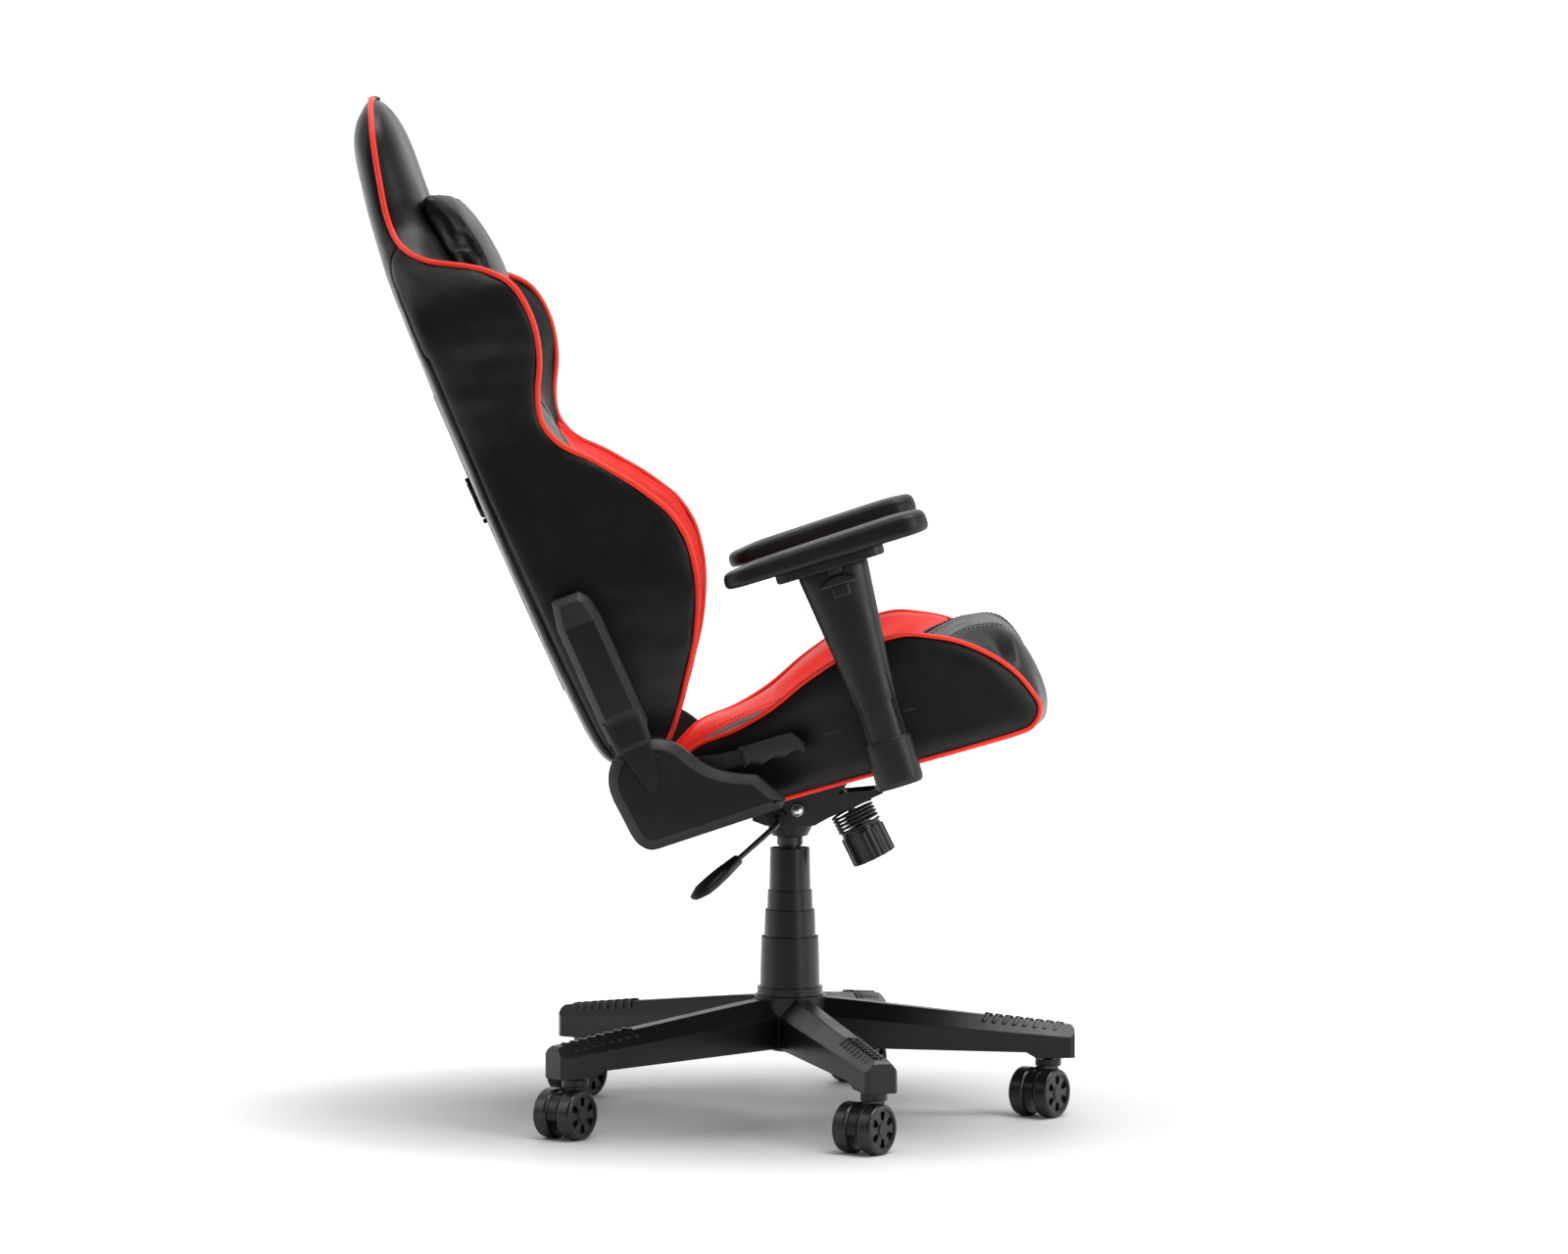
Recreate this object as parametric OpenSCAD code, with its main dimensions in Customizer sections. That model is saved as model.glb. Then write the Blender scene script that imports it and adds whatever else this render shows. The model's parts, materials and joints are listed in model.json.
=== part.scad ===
// Gaming chair: five-star base on twin-wheel casters, gas column, rocking
// mechanism, bucket seat, reclining back and adjustable armrests.
// Millimetres. +X is the front, +Y the chair's left, +Z up. The origin is on
// the floor, on the axis of the gas column.

/* [Base] */
// Diameter of the five-star base over its spoke ends
base_d = 700; // [640:10:760]
// Angle of the first spoke from the front
spoke_turn = 0; // [-36:1:36]
// Diameter of a caster wheel
wheel_d = 60; // [56:1:62]
// Direction in which the caster wheels trail, from the front
trail_turn = -125; // [-180:5:180]

/* [Column] */
// Height from the floor to the rocking pivot
pivot_z = 380; // [375:1:385]
// Diameter of the telescopic cover at its foot
cover_d = 74; // [72:1:78]

/* [Seat] */
// Angle of the seat, front up, with the chair rocked back
seat_tilt = 17; // [10:1:18]
// Widest half width of the seat
seat_w = 262; // [255:1:264]

/* [Back] */
// Lean of the back from the vertical, with the chair rocked back
back_lean = 24; // [18:1:30]
// Height of the back above its hinge
back_h = 880; // [870:1:890]
// Diameter of the tubes in the back and seat frames
frame_tube_d = 22; // [18:1:24]

/* [Armrests] */
// Distance from the middle of the chair to the middle of an armrest
arm_y = 288; // [287:1:292]
// Length of an armrest pad
pad_l = 250; // [240:1:260]

/* [Hidden] */
$fn = 48;
eps = 0.01;
gap = 0.3; // between soft parts

// ---- Smooth curves and lofts ----

// Slope of the curve through [key, value] points at point i
function slope(p, i) =
    let (a = max(i - 1, 0), b = min(i + 1, len(p) - 1))
    (p[b][1] - p[a][1]) / (p[b][0] - p[a][0]);

// Value within span i of the points, s from 0 to 1
function span(p, i, s) =
    let (w = p[i + 1][0] - p[i][0])
    p[i][1] * (2 * s ^ 3 - 3 * s ^ 2 + 1) + slope(p, i) * w * (s ^ 3 - 2 * s ^ 2 + s)
    + p[i + 1][1] * (3 * s ^ 2 - 2 * s ^ 3) + slope(p, i + 1) * w * (s ^ 3 - s ^ 2);

// Smooth curve through [key, value] points whose keys rise
function curve(p, t, i = 0) =
    t <= p[0][0] ? p[0][1] :
    t >= p[len(p) - 1][0] ? p[len(p) - 1][1] :
    t > p[i + 1][0] ? curve(p, t, i + 1) :
    span(p, i, (t - p[i][0]) / (p[i + 1][0] - p[i][0]));

function sum3(v, i = 0) = i == len(v) ? [0, 0, 0] : v[i] + sum3(v, i + 1);

function mix(a, b, t) = a * (1 - t) + b * t;

function unit(v) = v / norm(v);

// Closed solid through rings of equally many points, turning left about the way they go
module loft(rings) {
    n = len(rings[0]);
    m = len(rings);
    points = [
        for (r = rings) each r,
        sum3(rings[0]) / n,
        sum3(rings[m - 1]) / n
    ];
    sides = [
        for (i = [0:m - 2], j = [0:n - 1])
            let (a = i * n + j, b = i * n + (j + 1) % n)
            each [[a, b + n, b], [a, a + n, b + n]]
    ];
    ends = [
        for (j = [0:n - 1])
            let (k = (j + 1) % n, t = (m - 1) * n)
            each [[m * n, j, k], [m * n + 1, t + k, t + j]]
    ];
    polyhedron(points, [for (f = concat(sides, ends)) [f[0], f[2], f[1]]]);
}

// Superellipse ring in the plane across X, with half sizes a along Y and b along Z
function oval_ring(x, y, z, a, b, power, n = 24) = [
    for (i = [0:n - 1])
        let (u = 360 * i / n, c = cos(u), s = sin(u))
        [x, y + a * sign(c) * abs(c) ^ (2 / power), z + b * sign(s) * abs(s) ^ (2 / power)]
];

// The same ring lying flat, with half sizes a along X and b along Y
function flat_ring(x, y, z, a, b, power, n = 24) = [
    for (p = oval_ring(0, 0, 0, a, b, power, n)) [x + p[1], y + p[2], z]
];

// Round bar from p to q
module bar(p, q, r) {
    d = q - p;
    l = norm(d);
    translate(p)
        rotate([0, acos(d[2] / l), atan2(d[1], d[0])])
        cylinder(h = l, r = r);
}

// Bent round bar through points: each length starts a little inside the one before
module bent_bar(p, r) {
    for (i = [0:len(p) - 2]) {
        way = r * unit(p[i + 1] - p[i]);
        bar(p[i] - (i > 0 ? 0.5 : 0) * way, p[i + 1] + 0.4 * way, r - 0.2 * i);
    }
}

// Rectangle with round corners
module rounded_box(l, w, r) {
    square([l - 2 * r, w], center = true);
    square([l, w - 2 * r], center = true);
    for (x = [-1, 1], y = [-1, 1]) translate([x * (l / 2 - r), y * (w / 2 - r)]) circle(r);
}

// A part modelled on the left, on the side asked for: 1 is left and -1 right
module on_side(side) {
    if (side > 0) children();
    else mirror([0, 1, 0]) children();
}

module on_both_sides() {
    for (side = [1, -1]) on_side(side) children();
}

// Flat shape drawn in X and Z, made solid between two distances from the middle of the chair
module slab(y0, y1) {
    translate([0, y1, 0])
        rotate([90, 0, 0])
        linear_extrude(y1 - y0) children();
}

// ---- Base ----

spoke_n = 5;
base_r = base_d / 2;
caster_r = base_r - 32;
hub_r = 44;
hub_z = [86, 149];
socket_z = 72;
spoke_end_z = 111;
spoke_root_z = 148;
stem_r = 5.5;
stem_hole_top = 100;

tube_r = 22.5;
tube_z = [80, 232];
bush_r = 18;
cylinder_r = 14;
rod_r = 5;

module spokes() {
    for (k = [0:spoke_n - 1]) rotate(spoke_turn + k * 360 / spoke_n) children();
}

// Side view of a spoke, drawn in X and Z: an arm that thins and falls towards its end
module spoke_side() {
    polygon([
        [20, 88], [hub_r, 86], [base_r - 60, 79], [base_r - 48, socket_z],
        [base_r, socket_z], [base_r, spoke_end_z - 4], [base_r - 4, spoke_end_z],
        [base_r - 62, spoke_end_z + 7], [hub_r + 30, spoke_root_z - 5], [20, spoke_root_z]
    ]);
}

// A spoke: its side view cut to a tapering plan, with the two top edges chamfered
module spoke() {
    fall = atan((spoke_root_z - spoke_end_z) / (base_r - 20));
    difference() {
        intersection() {
            slab(-30, 30) spoke_side();
            translate([0, 0, 60])
                linear_extrude(120)
                polygon([[20, -26], [base_r - 6, -20], [base_r, -16], [base_r, 16], [base_r - 6, 20], [20, 26]]);
        }
        for (side = [-1, 1])
            translate([20, side * 8, spoke_root_z])
                rotate([side * -50, fall, 0])
                translate([-20, side > 0 ? 0 : -60, 0])
                cube([base_r + 60, 60, 60]);
    }
    translate([caster_r, 0, socket_z]) cylinder(h = 12, r = 19);
}

// Raised bars on the ridge that keep a foot from slipping on a spoke end
module spoke_grip() {
    for (k = [0:4])
        translate([base_r - 72 + 12 * k, 0, spoke_end_z + 1.1 * (4 - k) - 1])
            cube([3, 10, 6], center = true);
}

module star_base() {
    color([0.07, 0.07, 0.07])
        difference() {
            union() {
                translate([0, 0, hub_z[0]]) cylinder(h = hub_z[1] - hub_z[0], r = hub_r);
                spokes() spoke();
                spokes() spoke_grip();
            }
            translate([0, 0, hub_z[0] - 1]) cylinder(h = 80, r = tube_r + 0.05);
            spokes()
                translate([caster_r, 0, socket_z - 1])
                cylinder(h = stem_hole_top - socket_z + 1, r = stem_r + 0.05);
        }
}

// ---- Casters ----

wheel_r = wheel_d / 2;
wheel_w = 20;
wheel_y = 17.5;
trail = 20;
axle_r = 4;
axle_half = 21.5;

module at_caster(k) {
    rotate(spoke_turn + (k - 1) * 360 / spoke_n)
        translate([caster_r, 0, 0])
        rotate(trail_turn - spoke_turn - (k - 1) * 360 / spoke_n)
        children();
}

module across_wheel(y0, y1, r) {
    translate([trail, y1, wheel_r]) rotate([90, 0, 0]) cylinder(h = y1 - y0, r = r);
}

// Hood between the wheels, open below the axle, with a round shoulder under the spoke
module caster_hood() {
    difference() {
        union() {
            intersection() {
                across_wheel(-6.5, 6.5, wheel_r - 2.5);
                translate([-30, -8, wheel_r - 5]) cube([90, 16, 60]);
            }
            across_wheel(-6.5, 6.5, 9);
            translate([-13, -6.5, wheel_r + 5]) cube([32, 13, wheel_r - 4]);
            translate([0, 0, 61]) cylinder(h = 8.5, r = 16);
        }
        across_wheel(-10, 10, axle_r + 0.05);
        translate([0, 0, 41]) cylinder(h = 40, r = stem_r + 0.05);
    }
}

module caster_body(k) {
    color([0.06, 0.06, 0.06])
        at_caster(k) {
            caster_hood();
            translate([0, 0, 42]) cylinder(h = stem_hole_top - 43, r = stem_r);
            across_wheel(-axle_half, axle_half, axle_r);
        }
}

// Half section of a wheel: radius against width, with rounded shoulders
module wheel_section() {
    shoulder = 4;
    half = wheel_w / 2;
    translate([0, -half]) square([wheel_r - shoulder, wheel_w]);
    translate([0, shoulder - half]) square([wheel_r, wheel_w - 2 * shoulder]);
    for (s = [-1, 1]) translate([wheel_r - shoulder, s * (half - shoulder)]) circle(shoulder);
}

// One wheel about the Z axis, its open face up
module wheel() {
    half = wheel_w / 2;
    difference() {
        rotate_extrude() wheel_section();
        translate([0, 0, half - 1.5])
            difference() {
                cylinder(h = 5, r = 23.5);
                translate([0, 0, -1]) cylinder(h = 2.2, r = 8);
            }
        for (a = [0:60:300])
            rotate(a + 30)
                translate([0, 0, half - 6])
                linear_extrude(10)
                polygon([[11, -2.5], [20, -5], [21.5, -3], [21.5, 3], [20, 5], [11, 2.5]]);
        translate([0, 0, -half - 1]) cylinder(h = 15.5, r = axle_r + 0.09);
    }
}

module caster_wheel(k, side) {
    color([0.05, 0.05, 0.05])
        at_caster(k)
        translate([trail, side * wheel_y, wheel_r])
        rotate([side * -90, 0, 0])
        wheel();
}

// ---- Gas column ----

module gas_tube() {
    color([0.15, 0.15, 0.15])
        difference() {
            translate([0, 0, tube_z[0]]) cylinder(h = tube_z[1] - tube_z[0], r = tube_r);
            translate([0, 0, tube_z[0] + 4]) cylinder(h = 200, r = bush_r + 1.5);
            translate([0, 0, tube_z[0] - 1]) cylinder(h = 10, r = rod_r + 0.5);
        }
}

// Guide bush in the mouth of the tube, and the thrust bearing under the rod's shoulder
module column_bearings() {
    color([0.75, 0.75, 0.7]) {
        translate([0, 0, tube_z[1] - 45])
            difference() {
                cylinder(h = 44, r = bush_r + 1.45);
                translate([0, 0, -1]) cylinder(h = 50, r = cylinder_r + 0.1);
            }
        translate([0, 0, tube_z[0] + 4.1])
            difference() {
                cylinder(h = 7, r = 13);
                translate([0, 0, -1]) cylinder(h = 10, r = rod_r + 0.1);
            }
    }
}

// Rod with its piston, and the shoulder that stands on the bearing
module piston_rod() {
    color([0.8, 0.8, 0.82]) {
        translate([0, 0, tube_z[0] - 4]) cylinder(h = 118, r = rod_r);
        translate([0, 0, tube_z[0] + 11.2]) cylinder(h = 6, r = 9);
        translate([0, 0, tube_z[0] + 113]) cylinder(h = 11, r = 10.6);
    }
}

cylinder_z = [182, 388];

// Steel cylinder that slides and turns on the rod, hollow round the piston
module gas_cylinder() {
    color([0.12, 0.12, 0.12])
        difference() {
            union() {
                translate([0, 0, cylinder_z[0]])
                    cylinder(h = cylinder_z[1] - cylinder_z[0], r = cylinder_r);
                translate([0, 0, 334]) cylinder(h = 10, r = 16);
            }
            translate([0, 0, cylinder_z[0] + 9]) cylinder(h = 112, r = 11);
            translate([0, 0, cylinder_z[0] - 1]) cylinder(h = 20, r = rod_r + 0.1);
        }
}

// Sleeve of the telescopic cover: foot z, top z, radii of its foot and top
module sleeve(z0, z1, r0, r1, wall = 1.4) {
    difference() {
        translate([0, 0, z0]) cylinder(h = z1 - z0, r1 = r0, r2 = r1);
        translate([0, 0, z0 - eps]) cylinder(h = z1 - z0 + 2 * eps, r1 = r0 - wall, r2 = r1 - wall);
    }
}

cover_r = cover_d / 2;

module column_cover_bottom() {
    color([0.12, 0.12, 0.12]) {
        sleeve(159, 221, cover_r, cover_r - 1.6, 1.4);
        translate([0, 0, hub_z[1] + 0.1])
            difference() {
                cylinder(h = 10, r = cover_r + 3.5);
                translate([0, 0, -1]) cylinder(h = 12, r = cover_r - 1.5);
            }
    }
}

module column_cover_lower() {
    color([0.12, 0.12, 0.12]) sleeve(196, 254, 32.6, 30.8);
}

module column_cover_upper() {
    color([0.12, 0.12, 0.12]) sleeve(240, 278, 28.6, 27.4);
}

// Topmost sleeve, held on the cylinder by the washer in its neck
module column_cover_top() {
    color([0.12, 0.12, 0.12]) {
        sleeve(270, 330, 25.6, 24.6);
        translate([0, 0, 325])
            difference() {
                cylinder(h = 3, r = 23.6);
                translate([0, 0, -1]) cylinder(h = 5, r = cylinder_r + 0.05);
            }
    }
}

// ---- Rocking mechanism ----

pivot_x = 9;
bolt_lean = 26; // of the tension bolt from the vertical
bolt_head = [72, 384]; // X and Z of the bolt where it crosses the housing

module seat_space() {
    translate([pivot_x, 0, pivot_z]) rotate([0, -seat_tilt, 0]) children();
}

module bolt_space() {
    translate([bolt_head[0], 0, bolt_head[1]]) rotate([0, 180 - bolt_lean, 0]) children();
}

// Pressed box on the column, with a cone round the cylinder
module tilt_housing() {
    color([0.08, 0.08, 0.08])
        difference() {
            union() {
                slab(-38, 38)
                    polygon([
                        [-46, 366], [-46, 381], [-30, 386], [20, 396], [112, 404], [114, 400],
                        [48, 370], [30, 360], [-30, 360]
                    ]);
                translate([0, 0, 345]) cylinder(h = 16, r1 = 22, r2 = 30);
            }
            slab(-34, 34)
                polygon([[20, 420], [20, 378], [30, 366], [42, 372], [104, 400.5], [104, 420]]);
            slab(-34, 34) polygon([[-42, 400], [-42, 368], [-20, 364], [-20, 400]]);
            translate([0, 0, 340]) cylinder(h = 60, r = cylinder_r + 0.05);
            bolt_space() translate([0, 0, -20]) cylinder(h = 60, r = 17);
            translate([pivot_x, 60, pivot_z])
                rotate([90, 0, 0])
                cylinder(h = 120, r = 5.05);
            translate([-16, -20, lever_z]) rotate([90, 0, 0]) cylinder(h = 30, r = 8.1);
        }
}

// Pivot pin in two halves, either side of the gas cylinder
module pivot_pin() {
    color([0.8, 0.8, 0.8])
        on_both_sides()
        translate([pivot_x, 50, pivot_z])
        rotate([90, 0, 0]) {
            cylinder(h = 30, r = 5);
            translate([0, 0, -2.5]) cylinder(h = 3, r = 7.5);
        }
}

// Steel plate under the seat, with two ears on the pivot pin
module tilt_plate() {
    color([0.08, 0.08, 0.08])
        seat_space()
        difference() {
            union() {
                translate([-115, -85, 25]) cube([235, 170, 4]);
                on_both_sides()
                    slab(41, 45)
                    polygon([
                        [-18, 26], [-12, -8], [-6, -13], [8, -13], [60, 8], [90, 26]
                    ]);
            }
            translate([0, 60, 0]) rotate([90, 0, 0]) cylinder(h = 120, r = 5.08);
            rotate([0, seat_tilt, 0])
                translate([-pivot_x, 0, -pivot_z])
                bolt_space()
                translate([0, 0, -60])
                cylinder(h = 100, r = 6);
        }
}

spring_r = 25;
spring_wire_r = 2.8;
spring_foot = 5; // from the bolt's crossing to the first coil, along the bolt
spring_l = 24;
knob_from = 31.5;

// Tension spring, wound flat here: rings one above another on the bolt
module tension_spring() {
    color([0.1, 0.1, 0.1])
        bolt_space()
        for (k = [0:3])
            translate([0, 0, spring_foot + spring_wire_r + k * (spring_l - 2 * spring_wire_r) / 3])
            rotate_extrude() translate([spring_r, 0]) circle(spring_wire_r);
}

module tension_knob() {
    color([0.09, 0.09, 0.09])
        bolt_space()
        translate([0, 0, knob_from])
        difference() {
            union() {
                cylinder(h = 4, r = 25);
                translate([0, 0, 4]) cylinder(h = 38, r = 26);
                for (a = [0:30:330])
                    rotate(a) translate([25.2, 0, 6]) cylinder(h = 36, r = 2.8);
            }
            translate([0, 0, -1]) cylinder(h = 30, r = 5.1);
        }
}

// Tension bolt, the four bolts that hold the mechanism to the seat, and the hinge pins of the back
module seat_fasteners() {
    color([0.3, 0.3, 0.3]) {
        bolt_space() {
            translate([0, 0, -42]) cylinder(h = 98, r = 5);
            translate([0, 0, knob_from - 2]) cylinder(h = 1.8, r = 16);
        }
        seat_space()
            for (x = [-95, 105], y = [-70, 70])
                translate([x, y, 20]) cylinder(h = 4.9, r = 7, $fn = 6);
        seat_space()
            on_both_sides()
            translate([hinge_at[0], 277, hinge_at[1]])
            rotate([90, 0, 0])
            cylinder(h = 13, r = 12);
    }
}

lever_z = 370;
lever_x = -16;
lever_bend = [-22, -150, 366];
paddle_from = [-62, -190, 334];
paddle_to = [-114, -232, 292];

// Bush that slides in the housing and carries the lever: in or out locks the rocking
module lever_bushing() {
    color([0.15, 0.15, 0.15])
        translate([lever_x, -34.2, lever_z])
        rotate([90, 0, 0])
        difference() {
            union() {
                translate([0, 0, -2]) cylinder(h = 14, r = 7);
                translate([0, 0, 8]) cylinder(h = 12, r = 8);
                translate([0, 0, 12]) cylinder(h = 8, r = 11);
            }
            translate([0, 0, -5]) cylinder(h = 40, r = 4.08);
        }
}

module lift_lever_rod() {
    color([0.1, 0.1, 0.1])
        bent_bar([
            [lever_x, -36, lever_z], [lever_x, -120, lever_z], lever_bend,
            mix(lever_bend, paddle_from, 0.5), mix(paddle_from, paddle_to, 0.15)
        ], 4);
}

// Flat plastic paddle pushed over the end of the lever
module lift_lever_paddle() {
    along = paddle_to - paddle_from;
    length = norm(along);
    color([0.1, 0.1, 0.1])
        difference() {
            translate(paddle_from)
                rotate([0, acos(along[2] / length), atan2(along[1], along[0])])
                rotate([0, 0, 90])
                loft([
                    for (t = [0, 0.06, 0.35, 0.6, 0.8, 0.93, 1])
                        flat_ring(0, 0, t * length,
                            curve([[0, 7], [0.35, 12], [0.8, 14], [1, 7]], t),
                            curve([[0, 6], [0.35, 7], [0.8, 6], [1, 3]], t), 2.6, 20)
                ]);
            bar(mix(lever_bend, paddle_from, 0.5), mix(paddle_from, paddle_to, 0.2), 4.05);
        }
}

// ---- Seat ----

seat_x = [-188, 334];

// Depth, along X, against height: middle of the pan, top of the bolsters, underside, half width
seat_pan = [
    [-188, 55], [-165, 62], [-140, 75], [-115, 92], [-80, 103], [0, 108],
    [80, 114], [160, 127], [230, 146], [285, 158], [307, 147], [322, 124], [334, 80]
];
seat_crest = [
    [-188, 58], [-150, 78], [-120, 106], [-90, 121], [-60, 123], [-25, 128], [10, 139],
    [47, 155], [85, 169], [125, 180], [163, 183], [200, 174], [236, 159], [267, 138],
    [292, 112], [310, 84], [334, 70]
];
seat_under = [[-188, 42], [-170, 34], [270, 34], [300, 36], [320, 44], [334, 62]];
seat_half = [
    [-188, 205], [-150, 218], [-60, 240], [60, 256], [160, 262], [240, 256],
    [290, 236], [315, 212], [334, 175]
];
seat_seam = [[-188, 130], [-60, 150], [100, 158], [250, 150], [334, 120]];

function seat_stations() = [for (i = [0:26]) mix(seat_x[0], seat_x[1], (1 - cos(180 * i / 26)) / 2)];

// Half width of the seat at x, to scale with seat_w
function seat_side(x) = curve(seat_half, x) * seat_w / 262;

// Middle of the seat between its two long seams
function pan_ring(x) =
    let (y = curve(seat_seam, x) - gap, z0 = curve(seat_under, x), z1 = curve(seat_pan, x))
    [
        [x, -y, z0], [x, -y / 2, z0], [x, 0, z0], [x, y / 2, z0], [x, y, z0],
        [x, y, z1 - 6], [x, y - 8, z1 - 1], [x, y / 2, z1], [x, 0, z1],
        [x, -y / 2, z1], [x, 8 - y, z1 - 1], [x, -y, z1 - 6]
    ];

// Left bolster from the seam outwards
function bolster_ring(x) =
    let (
        y0 = curve(seat_seam, x) + gap, y1 = seat_side(x),
        z0 = curve(seat_under, x), zp = curve(seat_crest, x), za = curve(seat_pan, x),
        w = y1 - y0, high = zp - z0
    ) [
        [x, y0, z0], [x, y0 + w / 2, z0], [x, y1 - 16, z0], [x, y1 - 6, z0 + 0.06 * high],
        [x, y1 - 1, z0 + 0.3 * high], [x, y1, z0 + 0.55 * high],
        [x, y1 - 3, z0 + 0.85 * high], [x, y1 - 9, zp],
        [x, y1 - 20, zp + 3], [x, mix(y1, y0, 0.4), mix(zp, za, 0.12)],
        [x, mix(y1, y0, 0.65), mix(zp, za, 0.5)], [x, mix(y1, y0, 0.88), mix(zp, za, 0.9)],
        [x, y0, za - 6]
    ];

frame_z = 52;
frame_y = 120;
tube = frame_tube_d / 2;

function seat_frame_loop(side) = [
    [262, 0, frame_z], [262, side * 90, frame_z], [232, side * frame_y, frame_z],
    [-125, side * frame_y, frame_z], [-160, side * 90, frame_z - 4], [-160, 0, frame_z - 4]
];

// Tubes of the seat frame: a loop, and two bars across it
module seat_tubes() {
    for (side = [-1, 1]) bent_bar(seat_frame_loop(side), tube);
    for (x = [-90, 100]) bar([x, -frame_y, frame_z], [x, frame_y, frame_z], tube - 2);
}

// Bands of webbing that carry the seat cushion across the frame
module seat_bands() {
    for (x = [-50, 0, 50, 145, 195])
        translate([x - 20, -frame_y, frame_z - 1]) cube([40, 2 * frame_y, 2]);
}

module seat_frame() {
    color([0.2, 0.2, 0.2])
        seat_space() {
            seat_tubes();
            for (x = [-95, 105], y = [-70, 70])
                translate([x + 5 * (x > 0 ? -1 : 1), y, 29.2]) cylinder(h = 20, r = 7);
        }
}

module seat_webbing() {
    color([0.1, 0.1, 0.1]) seat_space() seat_bands();
}

module seat_cushion() {
    color([0.3, 0.3, 0.3])
        seat_space()
        loft([for (x = seat_stations()) pan_ring(x)]);
}

module seat_bolsters() {
    color([0.75, 0.12, 0.1])
        seat_space()
        on_both_sides()
        difference() {
            loft([for (x = seat_stations()) bolster_ring(x)]);
            for (x = [-60, 130]) translate([x - 26, 100, 30]) cube([52, 200, 14]);
            translate([-205, 190, 60]) cube([90, 100, 60]);
        }
}

// ---- Recliner between seat and back ----

hinge_at = [-151, 102]; // X and Z in the seat's own frame
plate_y = [266, 270]; // seat's steel plate, on each side
back_plate_y = [271, 275];
cover_y = [262, 292];
arm_cover_y = 252;
disc_r = 34;

module hinge_space() {
    seat_space()
        translate([hinge_at[0], 0, hinge_at[1]])
        rotate([0, seat_tilt - back_lean, 0])
        children();
}

// Outline of the plastic cover over the recliner, in the seat's own frame
cover_tail = [
    [-127, 149], [-150, 152], [-170, 149], [-186, 139], [-196, 122], [-199, 103],
    [-194, 71], [-188, 42], [-181, 31], [-172, 25], [-164, 24]
];
cover_nose = [[-11, 28], [-5, 35], [-28, 74]];
cover_top = [
    [-127, 149], [-113, 141], [-104, 132], [-96, 121], [-87, 108], [-74, 96], [-58, 86], [-28, 74]
];

module cover_outline() {
    polygon(concat(cover_tail, cover_nose, [for (i = [6:-1:1]) cover_top[i]]));
}

// Steel plate that joins the seat frame to the hinge
module seat_bracket_outline() {
    polygon([[-170, 85], [-170, 125], [-130, 125], [-100, 90], [-40, 60], [-25, 38], [-160, 38]]);
}

module seat_brackets() {
    color([0.15, 0.15, 0.15])
        seat_space()
        on_both_sides()
        difference() {
            union() {
                slab(plate_y[0], plate_y[1]) seat_bracket_outline();
                translate([-86, 120, 30.5]) cube([52, 146.1, 4]);
                translate([-86, 266, 30.5]) cube([52, 4, 12]);
            }
            translate([hinge_at[0], 300, hinge_at[1]])
                rotate([90, 0, 0])
                cylinder(h = 80, r = 12.05);
        }
}

module hinge_covers() {
    color([0.12, 0.12, 0.12])
        seat_space()
        on_both_sides()
        difference() {
            union() {
                slab(cover_y[0], 284) cover_outline();
                slab(284 - eps, cover_y[1]) offset(delta = -7) cover_outline();
            }
            // Room for the plates and for the hinge
            slab(plate_y[0] - 0.4, back_plate_y[1] + 1.5) offset(delta = -4) cover_outline();
            slab(plate_y[0] - 20, plate_y[0]) polygon([[-90, 20], [-90, 36], [-30, 36], [-30, 20]]);
            slab(plate_y[0] - 1, plate_y[1] + 1)
                polygon([[-92, 20], [-92, 45], [-28, 45], [-28, 20]]);
            translate([hinge_at[0], 300, hinge_at[1]])
                rotate([90, 0, 0])
                cylinder(h = 27, r = disc_r + 0.8);
            translate([hinge_at[0], 300, hinge_at[1]])
                rotate([90, 0, 0])
                cylinder(h = 80, r = 14);
            // Way out of the top for the back's plate as it swings
            slab(plate_y[1] + 0.3, back_plate_y[1] + 1.5)
                polygon([[-140, 100], [-106, 220], [-330, 220], [-330, 60], [-185, 92]]);
        }
}

// Lever that frees the recliner, on the right
module recline_lever() {
    color([0.1, 0.1, 0.1])
        seat_space()
        mirror([0, 1, 0])
        slab(257, 261)
            polygon([[-160, 92], [-160, 112], [-120, 118], [-62, 108], [-36, 107], [-36, 88], [-100, 90]]);
}

module recline_grip() {
    color([0.12, 0.12, 0.12])
        seat_space()
        mirror([0, 1, 0])
        difference() {
            slab(255, 272)
                polygon([
                    [-40, 109], [25, 109], [36, 94], [34, 82], [22, 88], [10, 84],
                    [-4, 87], [-18, 83], [-30, 88], [-40, 85]
                ]);
            slab(256.9, 261.1)
                polygon([[-80, 107.1], [-35.9, 107.1], [-35.9, 87.9], [-80, 87.9]]);
        }
}

// ---- Back ----

// Height above the hinge against: back face, middle of the front, piped edge, half width, seam
back_rear = [
    [22, -44], [40, -54], [80, -59], [200, -61], [430, -61], [530, -59], [605, -55], [660, -54],
    [706, -49], [753, -43], [799, -34], [835, -25], [857, -15], [872, -2], [880, 6]
];
back_front = [
    [22, 26], [40, 40], [100, 62], [200, 74], [300, 68], [400, 54], [500, 44], [600, 35],
    [700, 28], [760, 30], [828, 36], [852, 33], [870, 27], [880, 14]
];
back_edge = [
    [22, 24], [36, 38], [68, 68], [95, 89], [124, 111], [154, 129], [184, 143], [210, 151],
    [245, 156], [281, 150], [305, 138], [330, 123], [352, 107], [376, 89], [402, 66], [430, 55],
    [450, 56], [475, 65], [500, 79], [522, 88], [550, 94], [580, 94], [605, 87], [625, 70],
    [640, 50], [653, 27], [665, 7], [681, -5], [706, -18], [738, -17], [777, -9], [812, 0],
    [855, 12], [880, 10]
];
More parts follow.
